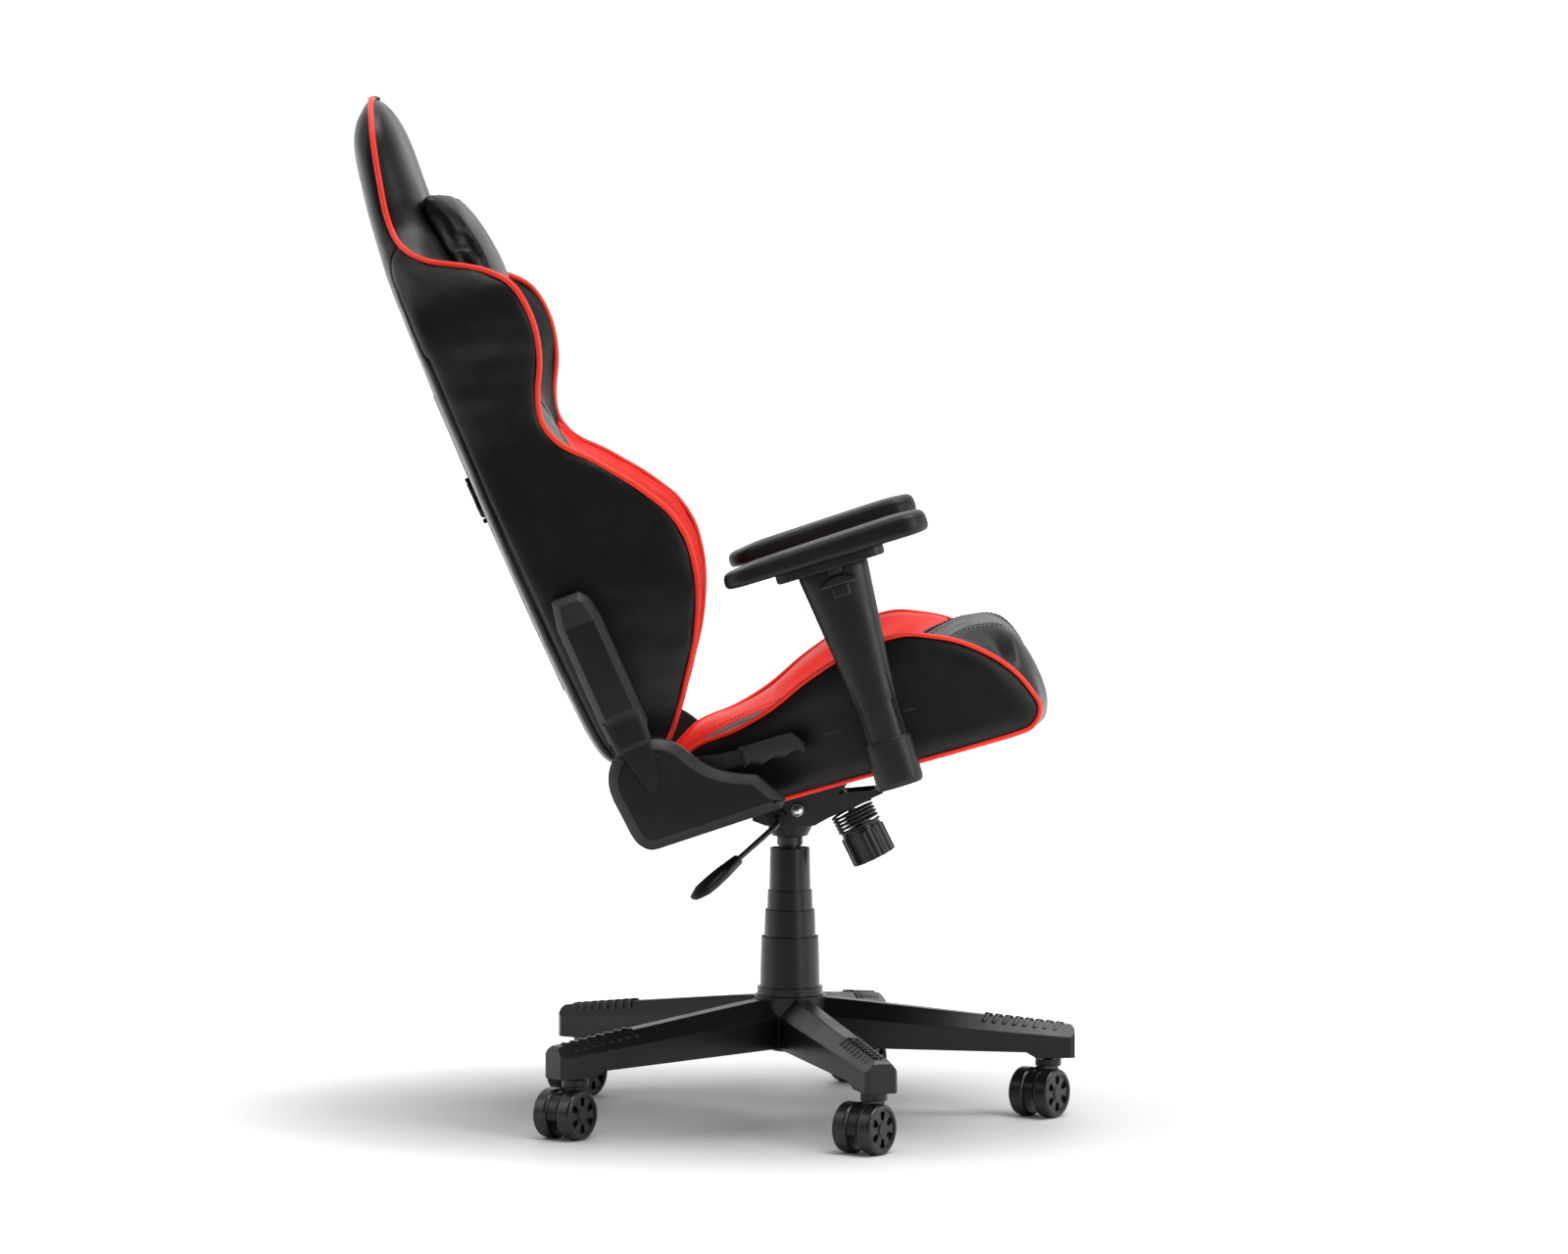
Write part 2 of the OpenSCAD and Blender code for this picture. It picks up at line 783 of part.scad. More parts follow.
back_half = [
    [22, 212], [60, 232], [130, 246], [230, 250], [330, 248], [440, 234], [520, 246],
    [570, 254], [605, 250], [632, 226], [655, 190], [680, 160], [706, 150], [750, 152], [800, 156],
    [835, 148], [860, 124], [874, 90], [880, 60]
];
back_seam = [
    [22, 140], [200, 150], [400, 138], [560, 132], [650, 112], [700, 98], [800, 96], [850, 84], [880, 36]
];

function back_stations() = concat(
    [22, 36, 60, 95, 130, 170, 210, 245, 280, 315, 350, 380, 405, 430, 455, 480, 510, 540],
    [565, 590, 610, 630, 650, 670, 690, 715, 745, 780, 815, 840, 858, 870, 877, 880]
);

function scaled_back(h) = h * 880 / back_h;

// Middle of the back between its two long seams
function spine_ring(h) =
    let (t = scaled_back(h), y = curve(back_seam, t) - gap, x0 = curve(back_rear, t), x1 = curve(back_front, t))
    [
        [x0 + 1, -y, h], [x1 - 6, -y, h], [x1 - 1, 8 - y, h], [x1, -y / 2, h], [x1, 0, h],
        [x1, y / 2, h], [x1 - 1, y - 8, h], [x1 - 6, y, h], [x0 + 1, y, h],
        [x0, y / 2, h], [x0, 0, h], [x0, -y / 2, h]
    ];

// Left wing of the back from the seam outwards
function wing_ring(h) =
    let (
        t = scaled_back(h), y0 = curve(back_seam, t) + gap, y1 = curve(back_half, t),
        x0 = curve(back_rear, t), xp = curve(back_edge, t), xa = curve(back_front, t), deep = xp - x0
    ) [
        [x0 + 1, y0, h], [xa - 6, y0, h], [mix(xa, xp, 0.1), mix(y0, y1, 0.12), h],
        [mix(xa, xp, 0.5), mix(y0, y1, 0.35), h], [mix(xa, xp, 0.9), mix(y0, y1, 0.62), h],
        [xp + 3, y1 - 18, h], [xp, y1 - 8, h], [x0 + 0.8 * deep, y1 - 1, h],
        [x0 + 0.5 * deep, y1, h], [x0 + 0.25 * deep, y1 - 4, h],
        [x0 + 0.1 * deep, y1 - 16, h], [x0 + 2, mix(y1, y0, 0.35), h], [x0 + 1, mix(y1, y0, 0.7), h]
    ];

back_tube_x = -22;

// Inverted U of tube, its thinner bars, and the flat cross bar that reaches the hinge plates
module back_tubes() {
    for (side = [-1, 1]) {
        bar([back_tube_x, side * 105, 58], [back_tube_x, side * 105, 570], tube);
        bar([back_tube_x, side * 105, 556], [back_tube_x + 6, side * 72, 778], tube - 0.5);
    }
    bar([back_tube_x + 6, -79, 764], [back_tube_x + 6, 79, 764], tube - 1.5);
    for (h = [180, 420, 530]) bar([back_tube_x, -105, h], [back_tube_x, 105, h], tube - 4);
    translate([back_tube_x - 6, -270.5, 52]) cube([12, 541, 24]);
}

module back_bands() {
    for (h = [225, 275, 325, 375, 480])
        translate([back_tube_x - 1, -105, h - 18]) cube([2, 210, 36]);
}

module back_frame() {
    color([0.2, 0.2, 0.2]) hinge_space() back_tubes();
}

module back_webbing() {
    color([0.1, 0.1, 0.1]) hinge_space() back_bands();
}

module back_cushion() {
    color([0.1, 0.1, 0.1])
        hinge_space()
        loft([for (h = back_stations()) spine_ring(h * back_h / 880)]);
}

module back_bolsters() {
    color([0.7, 0.1, 0.1])
        hinge_space()
        on_both_sides()
        difference() {
            loft([for (h = back_stations()) wing_ring(h * back_h / 880)]);
            translate([-30, 251, 0]) cube([60, 20, 260]);
        }
}

// Steel arm from the hinge up the side of the back
module back_brackets() {
    color([0.15, 0.15, 0.15])
        hinge_space()
        on_both_sides()
        difference() {
            slab(back_plate_y[0], back_plate_y[1])
                polygon([[-20, 0], [-20, 225], [20, 225], [20, 0], [12, -14], [-12, -14]]);
            translate([0, 300, 0]) rotate([90, 0, 0]) cylinder(h = 80, r = 12.05);
        }
}

// Plastic arm cover on the back, and the round cap over the hinge
module back_arm_covers() {
    color([0.14, 0.14, 0.14])
        hinge_space()
        on_both_sides()
        difference() {
            union() {
                slab(arm_cover_y, 282)
                    polygon([
                        [-26, 58], [-26, 208], [-19, 240], [15, 239], [23, 228], [27, 204],
                        [27, 66], [24, 58], [-10, 58]
                    ]);
                slab(282 - eps, 288) polygon([[-20, 60], [-20, 205], [16, 205], [20, 66]]);
                translate([0, 293, 0]) rotate([90, 0, 0]) cylinder(h = 14, r = disc_r);
                slab(292.5, 295) polygon([[-18, 66], [-18, 44], [-6, -10], [8, -11], [16, 16], [20, 66]]);
                slab(282 - eps, 295) polygon([[-18, 60], [-18, 76], [20, 76], [20, 60]]);
            }
            slab(arm_cover_y - 1, back_plate_y[1] + 1)
                polygon([[-21, 40], [-21, 226], [21, 226], [21, 40]]);
            slab(arm_cover_y - 1, back_plate_y[0])
                polygon([[-30, 48], [-30, 77], [-10, 77], [-10, 48]]);
        }
}

// Pillow: wide along Y, thick along X, its edges drawn to a seam
module pillow(half_w, half_h, thick, power = 2.4) {
    loft([
        for (i = [0:12])
            let (u = cos(180 * i / 12), w = (1 - abs(u) ^ 3.2) ^ 0.5)
            [for (p = flat_ring(0, 0, 0, mix(4, thick, w), half_h * mix(0.8, 1, w), power, 20))
                [p[0], -u * half_w, p[1]]]
    ]);
}

module head_pillow() {
    color([0.1, 0.1, 0.1])
        hinge_space()
        translate([58.5, 0, 664])
        rotate([0, -10, 0])
        pillow(140, 84, 27);
}

module lumbar_pillow() {
    color([0.1, 0.1, 0.1])
        hinge_space()
        translate([103, 0, 205])
        pillow(125, 80, 26);
}

// Elastic straps: round the headrest behind the pillow, and down the back of the chair
module straps() {
    strap_y = 18;
    color([0.08, 0.08, 0.08])
        hinge_space() {
            translate([-64.5, -strap_y, 130]) cube([2.2, 2 * strap_y, 395]);
            translate([-69, -24, 345]) cube([4, 48, 42]);
        }
}

// ---- Armrests ----

post_x = 131; // in the seat's own frame
post_foot = 14;
socket_top = 71;
sleeve_z = [115, 281];
core_a = 23;
core_b = 14;
pad_z = [292, 322];
pad_x = 127;

// Upright and its foot, which runs under the seat
module arm_uprights() {
    color([0.12, 0.12, 0.12])
        seat_space()
        on_both_sides() {
            translate([post_x - core_a, arm_y - core_b, 20]) cube([2 * core_a, 2 * core_b, 206]);
            translate([post_x - 23, 110, 33.9]) cube([46, arm_y - core_b - 109.9, 6]);
            translate([post_x - 23, 110, 29.1]) cube([46, 40, 4.8]);
        }
}

module arm_sockets() {
    color([0.12, 0.12, 0.12])
        seat_space()
        on_both_sides()
        difference() {
            translate([post_x, arm_y, post_foot])
                linear_extrude(socket_top - post_foot)
                rounded_box(56, 40, 9);
            translate([post_x - core_a - 0.1, arm_y - core_b - 0.1, 19.9])
                cube([2 * core_a + 0.2, 2 * core_b + 0.2, 100]);
            translate([post_x - 23.2, arm_y - 40, 33.7]) cube([46.4, 40, 6.4]);
        }
}

// Sleeve that slides on the upright, flaring towards the pad
module arm_sleeve(side) {
    color([0.13, 0.13, 0.13])
        seat_space()
        on_side(side)
        difference() {
            loft([
                for (t = [0, 0.02, 0.25, 0.5, 0.75, 0.9, 1])
                    flat_ring(mix(post_x, 128.5, t), arm_y, mix(sleeve_z[0], sleeve_z[1], t),
                        mix(25.5, 42.5, t ^ 1.1) - (t == 0 ? 0.7 : 0), mix(17.5, 21, t) - (t == 0 ? 0.7 : 0), 3.4, 28)
            ]);
            translate([post_x - core_a - 0.5, arm_y - core_b - 0.5, 100])
                cube([2 * core_a + 1, 2 * core_b + 1, 172]);
            translate([124, arm_y + 14, 244]) cube([19, 20, 19.5]);
        }
}

// Finger tab that frees the height latch
module arm_button(side) {
    color([0.08, 0.08, 0.08])
        seat_space()
        on_side(side) {
            translate([125, arm_y + 15.2, 245]) cube([17, 5.8, 12]);
            translate([116, arm_y + 20.9, 252]) cube([35, 8, 4]);
        }
}

module arm_plate(side) {
    color([0.1, 0.1, 0.1])
        seat_space()
        on_side(side) {
            loft([
                for (z = [[281.3, 64], [283, 66], [291.7, 66]])
                    flat_ring(pad_x, arm_y, z[0], z[1], z[1] - 36, 5, 28)
            ]);
        }
}

module arm_pad(side) {
    half = pad_l / 2;
    mid = (pad_z[0] + pad_z[1]) / 2;
    color([0.08, 0.08, 0.08])
        seat_space()
        on_side(side)
        loft([
            for (i = [0:16])
                let (u = -cos(180 * i / 16), w = (1 - abs(u) ^ 5) ^ 0.5)
                oval_ring(pad_x + u * half, arm_y, mid - (1 - w) * 1, mix(26, 48, w), mix(6, 15, w), 3.2, 24)
        ]);
}

// ---- Nodes ----

star_base();
gas_tube();
column_bearings();
column_cover_bottom();
piston_rod();
gas_cylinder();
tilt_housing();
pivot_pin();
column_cover_top();
column_cover_upper();
column_cover_lower();
lever_bushing();
lift_lever_rod();
lift_lever_paddle();
tension_spring();
tilt_plate();
seat_fasteners();
seat_frame();
seat_webbing();
seat_cushion();
seat_bolsters();
seat_brackets();
hinge_covers();
arm_uprights();
arm_sockets();
tension_knob();
recline_lever();
recline_grip();
back_frame();
back_webbing();
back_cushion();
back_bolsters();
back_brackets();
back_arm_covers();
head_pillow();
lumbar_pillow();
straps();
for (s = [["left", 1], ["right", -1]]) {
    arm_sleeve(s[1]);
    arm_button(s[1]);
    arm_plate(s[1]);
    arm_pad(s[1]);
}
for (k = [1:spoke_n]) {
    caster_body(k);
    caster_wheel(k, -1);
    caster_wheel(k, 1);
}
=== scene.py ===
"""Looks of the gaming chair: upholstery, pillows, straps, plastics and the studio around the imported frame."""
import json
from math import atan2, cos, pi, radians, sin, sqrt

import bmesh
import bpy
import numpy as np
from mathutils import Matrix, Vector
from mathutils.kdtree import KDTree


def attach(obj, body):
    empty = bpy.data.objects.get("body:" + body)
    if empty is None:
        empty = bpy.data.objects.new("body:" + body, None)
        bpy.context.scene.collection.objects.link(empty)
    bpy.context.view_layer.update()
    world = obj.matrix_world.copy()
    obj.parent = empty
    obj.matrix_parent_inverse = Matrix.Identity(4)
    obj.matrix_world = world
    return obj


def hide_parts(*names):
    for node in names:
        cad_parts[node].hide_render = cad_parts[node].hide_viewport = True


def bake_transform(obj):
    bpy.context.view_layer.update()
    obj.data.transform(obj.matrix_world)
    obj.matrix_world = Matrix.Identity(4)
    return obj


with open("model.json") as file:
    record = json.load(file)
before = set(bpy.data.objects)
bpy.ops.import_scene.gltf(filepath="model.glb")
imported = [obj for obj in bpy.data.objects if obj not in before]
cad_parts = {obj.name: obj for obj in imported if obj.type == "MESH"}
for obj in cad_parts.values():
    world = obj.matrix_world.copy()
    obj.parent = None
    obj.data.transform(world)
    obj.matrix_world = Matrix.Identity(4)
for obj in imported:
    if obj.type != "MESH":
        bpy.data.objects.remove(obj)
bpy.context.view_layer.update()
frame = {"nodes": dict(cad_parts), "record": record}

JOINTS = {j["name"]: j for j in frame["record"]["behaviour"]["joints"]}
MM = 0.001
SIDES = (("left", 1), ("right", -1))
SHARP = 38  # edges sharper than this, in degrees, aren't shaded smooth

# ---- Local frames of the seat and the back, in the row's frame ----

_up = JOINTS["arm_left_height"]["axis"]
SEAT_TILT = atan2(-_up[0], _up[2])
BACK_LEAN = SEAT_TILT + radians(7)
SEAT_AT = Vector(JOINTS["tilt"]["pos_m"])
BACK_AT = Vector(JOINTS["recline"]["pos_m"])
SEAT = Matrix.Translation(SEAT_AT) @ Matrix.Rotation(-SEAT_TILT, 4, "Y")
BACK = Matrix.Translation(BACK_AT) @ Matrix.Rotation(-BACK_LEAN, 4, "Y")
ROW = Matrix.Identity(4)


# ---- Materials ----

def node(tree, kind, inputs=None, **props):
    n = tree.nodes.new(kind)
    for k, v in props.items():
        setattr(n, k, v)
    for k, v in (inputs or {}).items():
        n.inputs[k].default_value = v
    return n


def link(source, socket):
    socket.id_data.links.new(source, socket)


def material(name, **shader):
    """A new material, its tree, its shader with sockets set from shader, and object coordinates."""
    m = bpy.data.materials.new(name)
    m.use_nodes = True
    tree = m.node_tree
    bsdf = tree.nodes["Principled BSDF"]
    for k, v in shader.items():
        bsdf.inputs[k.replace("_", " ")].default_value = v
    return m, tree, bsdf, node(tree, "ShaderNodeTexCoord").outputs["Object"]


def ramp(tree, source, low, high, at=(0.3, 0.7)):
    """A colour or grey between low and high, driven by source."""
    r = node(tree, "ShaderNodeValToRGB")
    for stop, place, v in zip(r.color_ramp.elements, at, (low, high)):
        stop.position = place
        stop.color = (*v, 1) if isinstance(v, tuple) else (v, v, v, 1)
    link(source, r.inputs["Fac"])
    return r.outputs["Color"]


def maths(tree, operation, a, b, c=0.0):
    """A maths node; a is a socket, and b and c are sockets or numbers."""
    n = node(tree, "ShaderNodeMath", operation=operation)
    for socket, value in zip(n.inputs, (a, b, c)):
        if isinstance(value, float):
            socket.default_value = value
        else:
            link(value, socket)
    return n.outputs[0]


def noise(tree, coords, scale, detail=3.0, rough=0.55):
    n = node(tree, "ShaderNodeTexNoise", {"Scale": scale, "Detail": detail, "Roughness": rough})
    link(coords, n.inputs["Vector"])
    return n.outputs["Fac"]


def bump(tree, height, distance, strength, normal=None):
    b = node(tree, "ShaderNodeBump", {"Strength": strength, "Distance": distance})
    link(height, b.inputs["Height"])
    if normal is not None:
        link(normal, b.inputs["Normal"])
    return b.outputs["Normal"]


def leather(name, colour, dark, rough=(0.36, 0.5), grain=0.35):
    """Grained artificial leather: cells about 1.3 mm across, with soft creases and a slight sheen."""
    m, t, s, c = material(name, Specular_IOR_Level=0.27, Coat_Weight=0.03, Coat_Roughness=0.3)
    cells = node(t, "ShaderNodeTexVoronoi", {"Scale": 760.0, "Randomness": 1.0}, feature="DISTANCE_TO_EDGE")
    link(c, cells.inputs["Vector"])
    pores = ramp(t, cells.outputs["Distance"], 0.0, 1.0, (0.0, 0.22))
    creases = noise(t, c, 55, 5, 0.6)
    broad = noise(t, c, 9, 3)
    link(ramp(t, broad, dark, colour, (0.25, 0.6)), s.inputs["Base Color"])
    link(ramp(t, noise(t, c, 30, 4), rough[0], rough[1]), s.inputs["Roughness"])
    n = bump(t, creases, 0.0012, 0.10)
    link(bump(t, pores, 0.00022, grain, n), s.inputs["Normal"])
    return m


def plastic(name, colour, rough=(0.42, 0.55), grain=0.25, cell=1700, edge=0.0012, specular=0.5):
    """Moulded plastic with a spark-eroded grain, and edges rounded by the bevel shader."""
    m, t, s, c = material(name, Specular_IOR_Level=specular)
    speck = noise(t, c, cell, 2, 0.7)
    base = tuple(v * 0.82 for v in colour)
    link(ramp(t, noise(t, c, 60, 4), base, colour), s.inputs["Base Color"])
    link(ramp(t, noise(t, c, 24, 4), rough[0], rough[1]), s.inputs["Roughness"])
    bevel = node(t, "ShaderNodeBevel", {"Radius": edge}, samples=4)
    link(bump(t, speck, 0.0002, grain, bevel.outputs["Normal"]), s.inputs["Normal"])
    return m


def metal(name, colour, rough, brushed=400):
    m, t, s, c = material(name, Metallic=1.0)
    link(ramp(t, noise(t, c, 40, 4), tuple(v * 0.85 for v in colour), colour), s.inputs["Base Color"])
    link(ramp(t, noise(t, c, brushed, 2), rough * 0.8, rough * 1.2), s.inputs["Roughness"])
    bevel = node(t, "ShaderNodeBevel", {"Radius": 0.0006}, samples=4)
    link(bump(t, noise(t, c, brushed, 2), 0.0001, 0.1, bevel.outputs["Normal"]), s.inputs["Normal"])
    return m


def webbing(name, colour, pitch=0.0016):
    """Woven tape: two crossed waves, warp over weft."""
    m, t, s, c = material(name, Specular_IOR_Level=0.25, Sheen_Weight=0.3, Sheen_Roughness=0.5)
    waves = []
    for axis in ("Y", "Z"):
        w = node(t, "ShaderNodeTexWave", {"Scale": 0.3 / pitch, "Distortion": 0.4, "Detail": 1.0},
                 bands_direction=axis)
        link(c, w.inputs["Vector"])
        waves.append(w.outputs["Fac"])
    weave = maths(t, "MULTIPLY", *waves)
    dark = tuple(v * 0.4 for v in colour)
    link(ramp(t, weave, dark, colour, (0.1, 0.8)), s.inputs["Base Color"])
    s.inputs["Roughness"].default_value = 0.8
    link(bump(t, weave, 0.0005, 0.6), s.inputs["Normal"])
    return m


BLACK = leather("black_leather", (0.0032, 0.0032, 0.0033), (0.0022, 0.0022, 0.0023), (0.31, 0.43))
RED = leather("red_leather", (0.76, 0.022, 0.013), (0.68, 0.017, 0.010), (0.4, 0.52), 0.28)
PIPING = leather("piping_leather", (0.88, 0.040, 0.020), (0.82, 0.034, 0.017), (0.38, 0.48), 0.15)
THREAD = webbing("thread", (0.03, 0.03, 0.03), 0.0006)
NYLON = plastic("nylon", (0.0042, 0.0042, 0.0044), (0.27, 0.37), 0.14, 1700, 0.0012, 0.34)
COVER = plastic("cover_plastic", (0.015, 0.015, 0.0153), (0.44, 0.58), 0.55, 1500, 0.0012, 0.33)
COVER_DARK = plastic("cover_plastic_dark", (0.006, 0.006, 0.0062), (0.5, 0.62), 0.45, 1500, 0.0008, 0.22)
ARM = plastic("arm_plastic", (0.007, 0.007, 0.0072), (0.36, 0.46), 0.45, 1500, 0.0012, 0.36)
PAD = plastic("arm_pad", (0.004, 0.004, 0.0042), (0.4, 0.5), 0.3, 1900, 0.001, 0.3)
PAINT = plastic("black_paint", (0.005, 0.005, 0.005), (0.32, 0.44), 0.12, 2600, 0.0008)
WHEEL = plastic("wheel_nylon", (0.004, 0.004, 0.0042), (0.26, 0.38), 0.06, 900, 0.0008)
BEARING = plastic("bearing_plastic", (0.6, 0.6, 0.56), (0.4, 0.5), 0.1)
STEEL = metal("zinc_steel", (0.72, 0.72, 0.72), 0.16)
DARK_STEEL = metal("black_oxide_steel", (0.06, 0.06, 0.062), 0.35)
WEBBING = webbing("webbing", (0.022, 0.022, 0.024))

SLOT_LOOKS = {
    "nylon": NYLON, "black_paint": PAINT, "steel": STEEL, "bearing_plastic": BEARING, "webbing": WEBBING,
    "black_leather": BLACK, "red_leather": RED, "arm_plastic": ARM, "arm_pad": PAD, "wheel": WHEEL,
}


def dress_nodes():
    """Give each CAD node that stays the look of its slot."""
    slots = {s["node"]: s["material_slot"] for s in frame["record"]["subparts"]}
    for name, obj in frame["nodes"].items():
        obj.data.materials.clear()
        obj.data.materials.append(DARK_STEEL if name == "seat_fasteners" else SLOT_LOOKS[slots[name]])


# ---- Curves and meshes, in millimetres in a local frame ----

def smooth(keys, t):
    """Smooth curve through (key, value) pairs with rising keys."""
    k = np.array([p[0] for p in keys], float)
    v = np.array([p[1] for p in keys], float)
    m = np.empty_like(v)
    m[1:-1] = (v[2:] - v[:-2]) / (k[2:] - k[:-2])
    m[0], m[-1] = (v[1] - v[0]) / (k[1] - k[0]), (v[-1] - v[-2]) / (k[-1] - k[-2])
    t = np.clip(np.asarray(t, float), k[0], k[-1])
    i = np.clip(np.searchsorted(k, t, "right") - 1, 0, len(k) - 2)
    w = k[i + 1] - k[i]
    s = (t - k[i]) / w
    return (v[i] * (2 * s**3 - 3 * s**2 + 1) + m[i] * w * (s**3 - 2 * s**2 + s)
            + v[i + 1] * (3 * s**2 - 2 * s**3) + m[i + 1] * w * (s**3 - s**2))


def step(t, a, b):
    s = np.clip((np.asarray(t, float) - a) / (b - a), 0, 1)
    return s * s * (3 - 2 * s)


def unit(v):
    """Vectors along the last axis, scaled to length 1."""
    return v / np.maximum(np.linalg.norm(v, axis=-1, keepdims=True), 1e-9)


def sample(at, run, values):
    """Rows of values, placed along run, read off at other places."""
    return np.stack([np.interp(at, run, column) for column in values.T], -1)


def angles(n):
    """Even steps round a circle."""
    return [2 * pi * k / n for k in range(n)]


def signed_power(v, power):
    return np.sign(v) * abs(v) ** power


def between(a, b, start, end, t):
    return a * (end - t) / (end - start) + b * (t - start) / (end - start)


def through(points, per, closed=False):
    """Centripetal curve through points, with per samples from each point to the next."""
    p = np.asarray(points, float)
    spans = len(p) if closed else len(p) - 1
    if closed:
        p = np.concatenate([p[-1:], p, p[:2]])
    else:
        p = np.concatenate([2 * p[:1] - p[1:2], p, 2 * p[-1:] - p[-2:-1]])
    out = []
    for i in range(spans):
        a, b, c, d = p[i:i + 4]
        t = np.cumsum([0] + [max(np.linalg.norm(q - r), 1e-6) ** 0.5 for q, r in ((b, a), (c, b), (d, c))])
        for u in range(per):
            at = t[1] + (t[2] - t[1]) * u / per
            ab, bc, cd = (between(*ends, at) for ends in ((a, b, *t[:2]), (b, c, *t[1:3]), (c, d, *t[2:])))
            x, y = between(ab, bc, t[0], t[2], at), between(bc, cd, t[1], t[3], at)
            out.append(between(x, y, t[1], t[2], at))
    if not closed:
        out.append(p[-2])
    return np.array(out)


def add(name, data):
    """A new object in the scene."""
    obj = bpy.data.objects.new(name, data)
    bpy.context.scene.collection.objects.link(obj)
    return obj


def shade_smooth(mesh):
    mesh.polygons.foreach_set("use_smooth", [True] * len(mesh.polygons))


def sharpen(obj, angle=SHARP):
    obj.data.set_sharp_from_angle(angle=radians(angle))
    return obj


def band(rows, n, closed=True):
    """Quads between rows of n points; closed joins each row's last point to its first."""
    return [(r * n + i, r * n + (i + 1) % n, (r + 1) * n + (i + 1) % n, (r + 1) * n + i)
            for r in range(rows - 1) for i in range(n if closed else n - 1)]


def caps(rows, n):
    """The faces that close the first and the last of rows of n points."""
    return [tuple(range(n))[::-1], tuple(range((rows - 1) * n, rows * n))]


def build(name, verts, faces, look, space=ROW, soft=True):
    """A mesh object from vertices in millimetres in a local frame."""
    mesh = bpy.data.meshes.new(name)
    v = np.asarray(verts, float) * MM
    world = np.array(space)
    v = v @ world[:3, :3].T + world[:3, 3]
    mesh.from_pydata(v.tolist(), [], faces)
    obj = add(name, mesh)
    mesh.materials.append(look)
    mesh.validate()
    bm = bmesh.new()
    bm.from_mesh(mesh)
    bmesh.ops.remove_doubles(bm, verts=bm.verts, dist=2e-5)
    bmesh.ops.recalc_face_normals(bm, faces=bm.faces)
    bm.to_mesh(mesh)
    bm.free()
    if soft:
        shade_smooth(mesh)
    return obj


def apply(obj):
    """Apply every modifier on obj."""
    deps = bpy.context.evaluated_depsgraph_get()
    mesh = bpy.data.meshes.new_from_object(obj.evaluated_get(deps))
    obj.modifiers.clear()
    obj.data = mesh
    return obj


def subdivide(obj):
    """One level of subdivision, shaded smooth."""
    sub = obj.modifiers.new("smooth", "SUBSURF")
    sub.levels = 1
    apply(obj)
    shade_smooth(obj.data)
    return obj


def finish_hard(obj, width=0.8, angle=30):
    """Round the sharp edges of a hard piece."""
    b = obj.modifiers.new("edges", "BEVEL")
    b.width = width * MM
    b.segments = 2
    b.angle_limit = radians(angle)
    apply(obj)
    shade_smooth(obj.data)
    return sharpen(obj)


def declare(obj, body, replaces=()):
    """Tell the frame the body that a piece rides on and the CAD nodes that it replaces."""
    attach(obj, body)
    if replaces:
        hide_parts(*replaces)
    return obj


def tube(name, path, radius, look, space=ROW, closed=False, sides=12):
    """Round tube along a path."""
    p = np.asarray(path, float)
    n = len(p)
    tangent = unit(np.roll(p, -1, 0) - np.roll(p, 1, 0) if closed else np.gradient(p, axis=0))
    side = unit(np.cross(tangent[0], (0.3, 0.2, 1.0)))
    verts = []
    for i in range(n):
        side = unit(side - tangent[i] * np.dot(side, tangent[i]))
        other = np.cross(tangent[i], side)
        for a in angles(sides):
            verts.append(p[i] + radius * (cos(a) * side + sin(a) * other))
    faces = band(n, sides)
    if closed:  # join the last ring to the first, turned to line up with it
        first, end = np.array(verts[:sides]), np.array(verts[-sides:])
        shift = int(np.argmin([np.linalg.norm(np.roll(first, -s, 0) - end) for s in range(sides)]))
        base = (n - 1) * sides
        faces += [(base + k, base + (k + 1) % sides, (k + 1 + shift) % sides, (k + shift) % sides)
                  for k in range(sides)]
    else:
        faces += caps(n, sides)
    return build(name, verts, faces, look, space)


# ---- Padded upholstery: a grid of points, cut into sewn panels ----

def grid_normals(g):
    """Unit normals of a grid of points, all on the same side of it."""
    return unit(np.cross(np.gradient(g, axis=1), np.gradient(g, axis=0)))


def waves(g, size, seed):
    """Smooth pseudo-random relief, about size millimetres from crest to crest."""
    rng = np.random.default_rng(seed)
    total = np.zeros(g.shape[:2])
    for _ in range(7):
        k = rng.normal(size=3)
        k *= 2 * pi / size / np.linalg.norm(k) * rng.uniform(0.6, 1.5)
        total += np.sin(g @ k + rng.uniform(0, 2 * pi))
    return total / 2.6


def along(g, axis, index):
    """Distance of each point from the line at index, measured along the grid."""
    seg = np.linalg.norm(np.diff(g, axis=axis), axis=2)
    zero = np.zeros_like(np.take(seg, [0], axis))
    run = np.concatenate([zero, np.cumsum(seg, axis)], axis)
    return np.abs(run - np.take(run, [index], axis))


def sew(g, normals, seams, depth=3.2, width=9.0, pucker=0.9, seed=1):
    """Pull the grid in along its seams, with puckers that fade away from them.

    seams: (axis, index, low, high) lines of the grid; low and high bound the stretch sewn."""
    out = g.copy()
    for k, (axis, index, low, high) in enumerate(seams):
        d = along(g, axis, index)
        other = 1 - axis
        run = along(g, other, 0)
        rng = np.random.default_rng(seed * 50 + k)
        phase = rng.uniform(0, 6, 3)
        ripple = sum(a * np.sin(run / r + p) for a, r, p in zip((1, 1, 0.6), (5.2, 8.3, 3.1), phase))
        mask = np.zeros(g.shape[other])
        mask[low:high + 1] = 1
        mask = mask[:, None] if other == 0 else mask[None, :]
        pull = -depth * np.clip(1 - d / width, 0, 1) ** 2
        pull = pull + pucker * 0.33 * ripple * np.exp(-d / 9.0) * (1 - np.exp(-d / 2.5))
        out += normals * (pull * mask)[:, :, None]
    return out


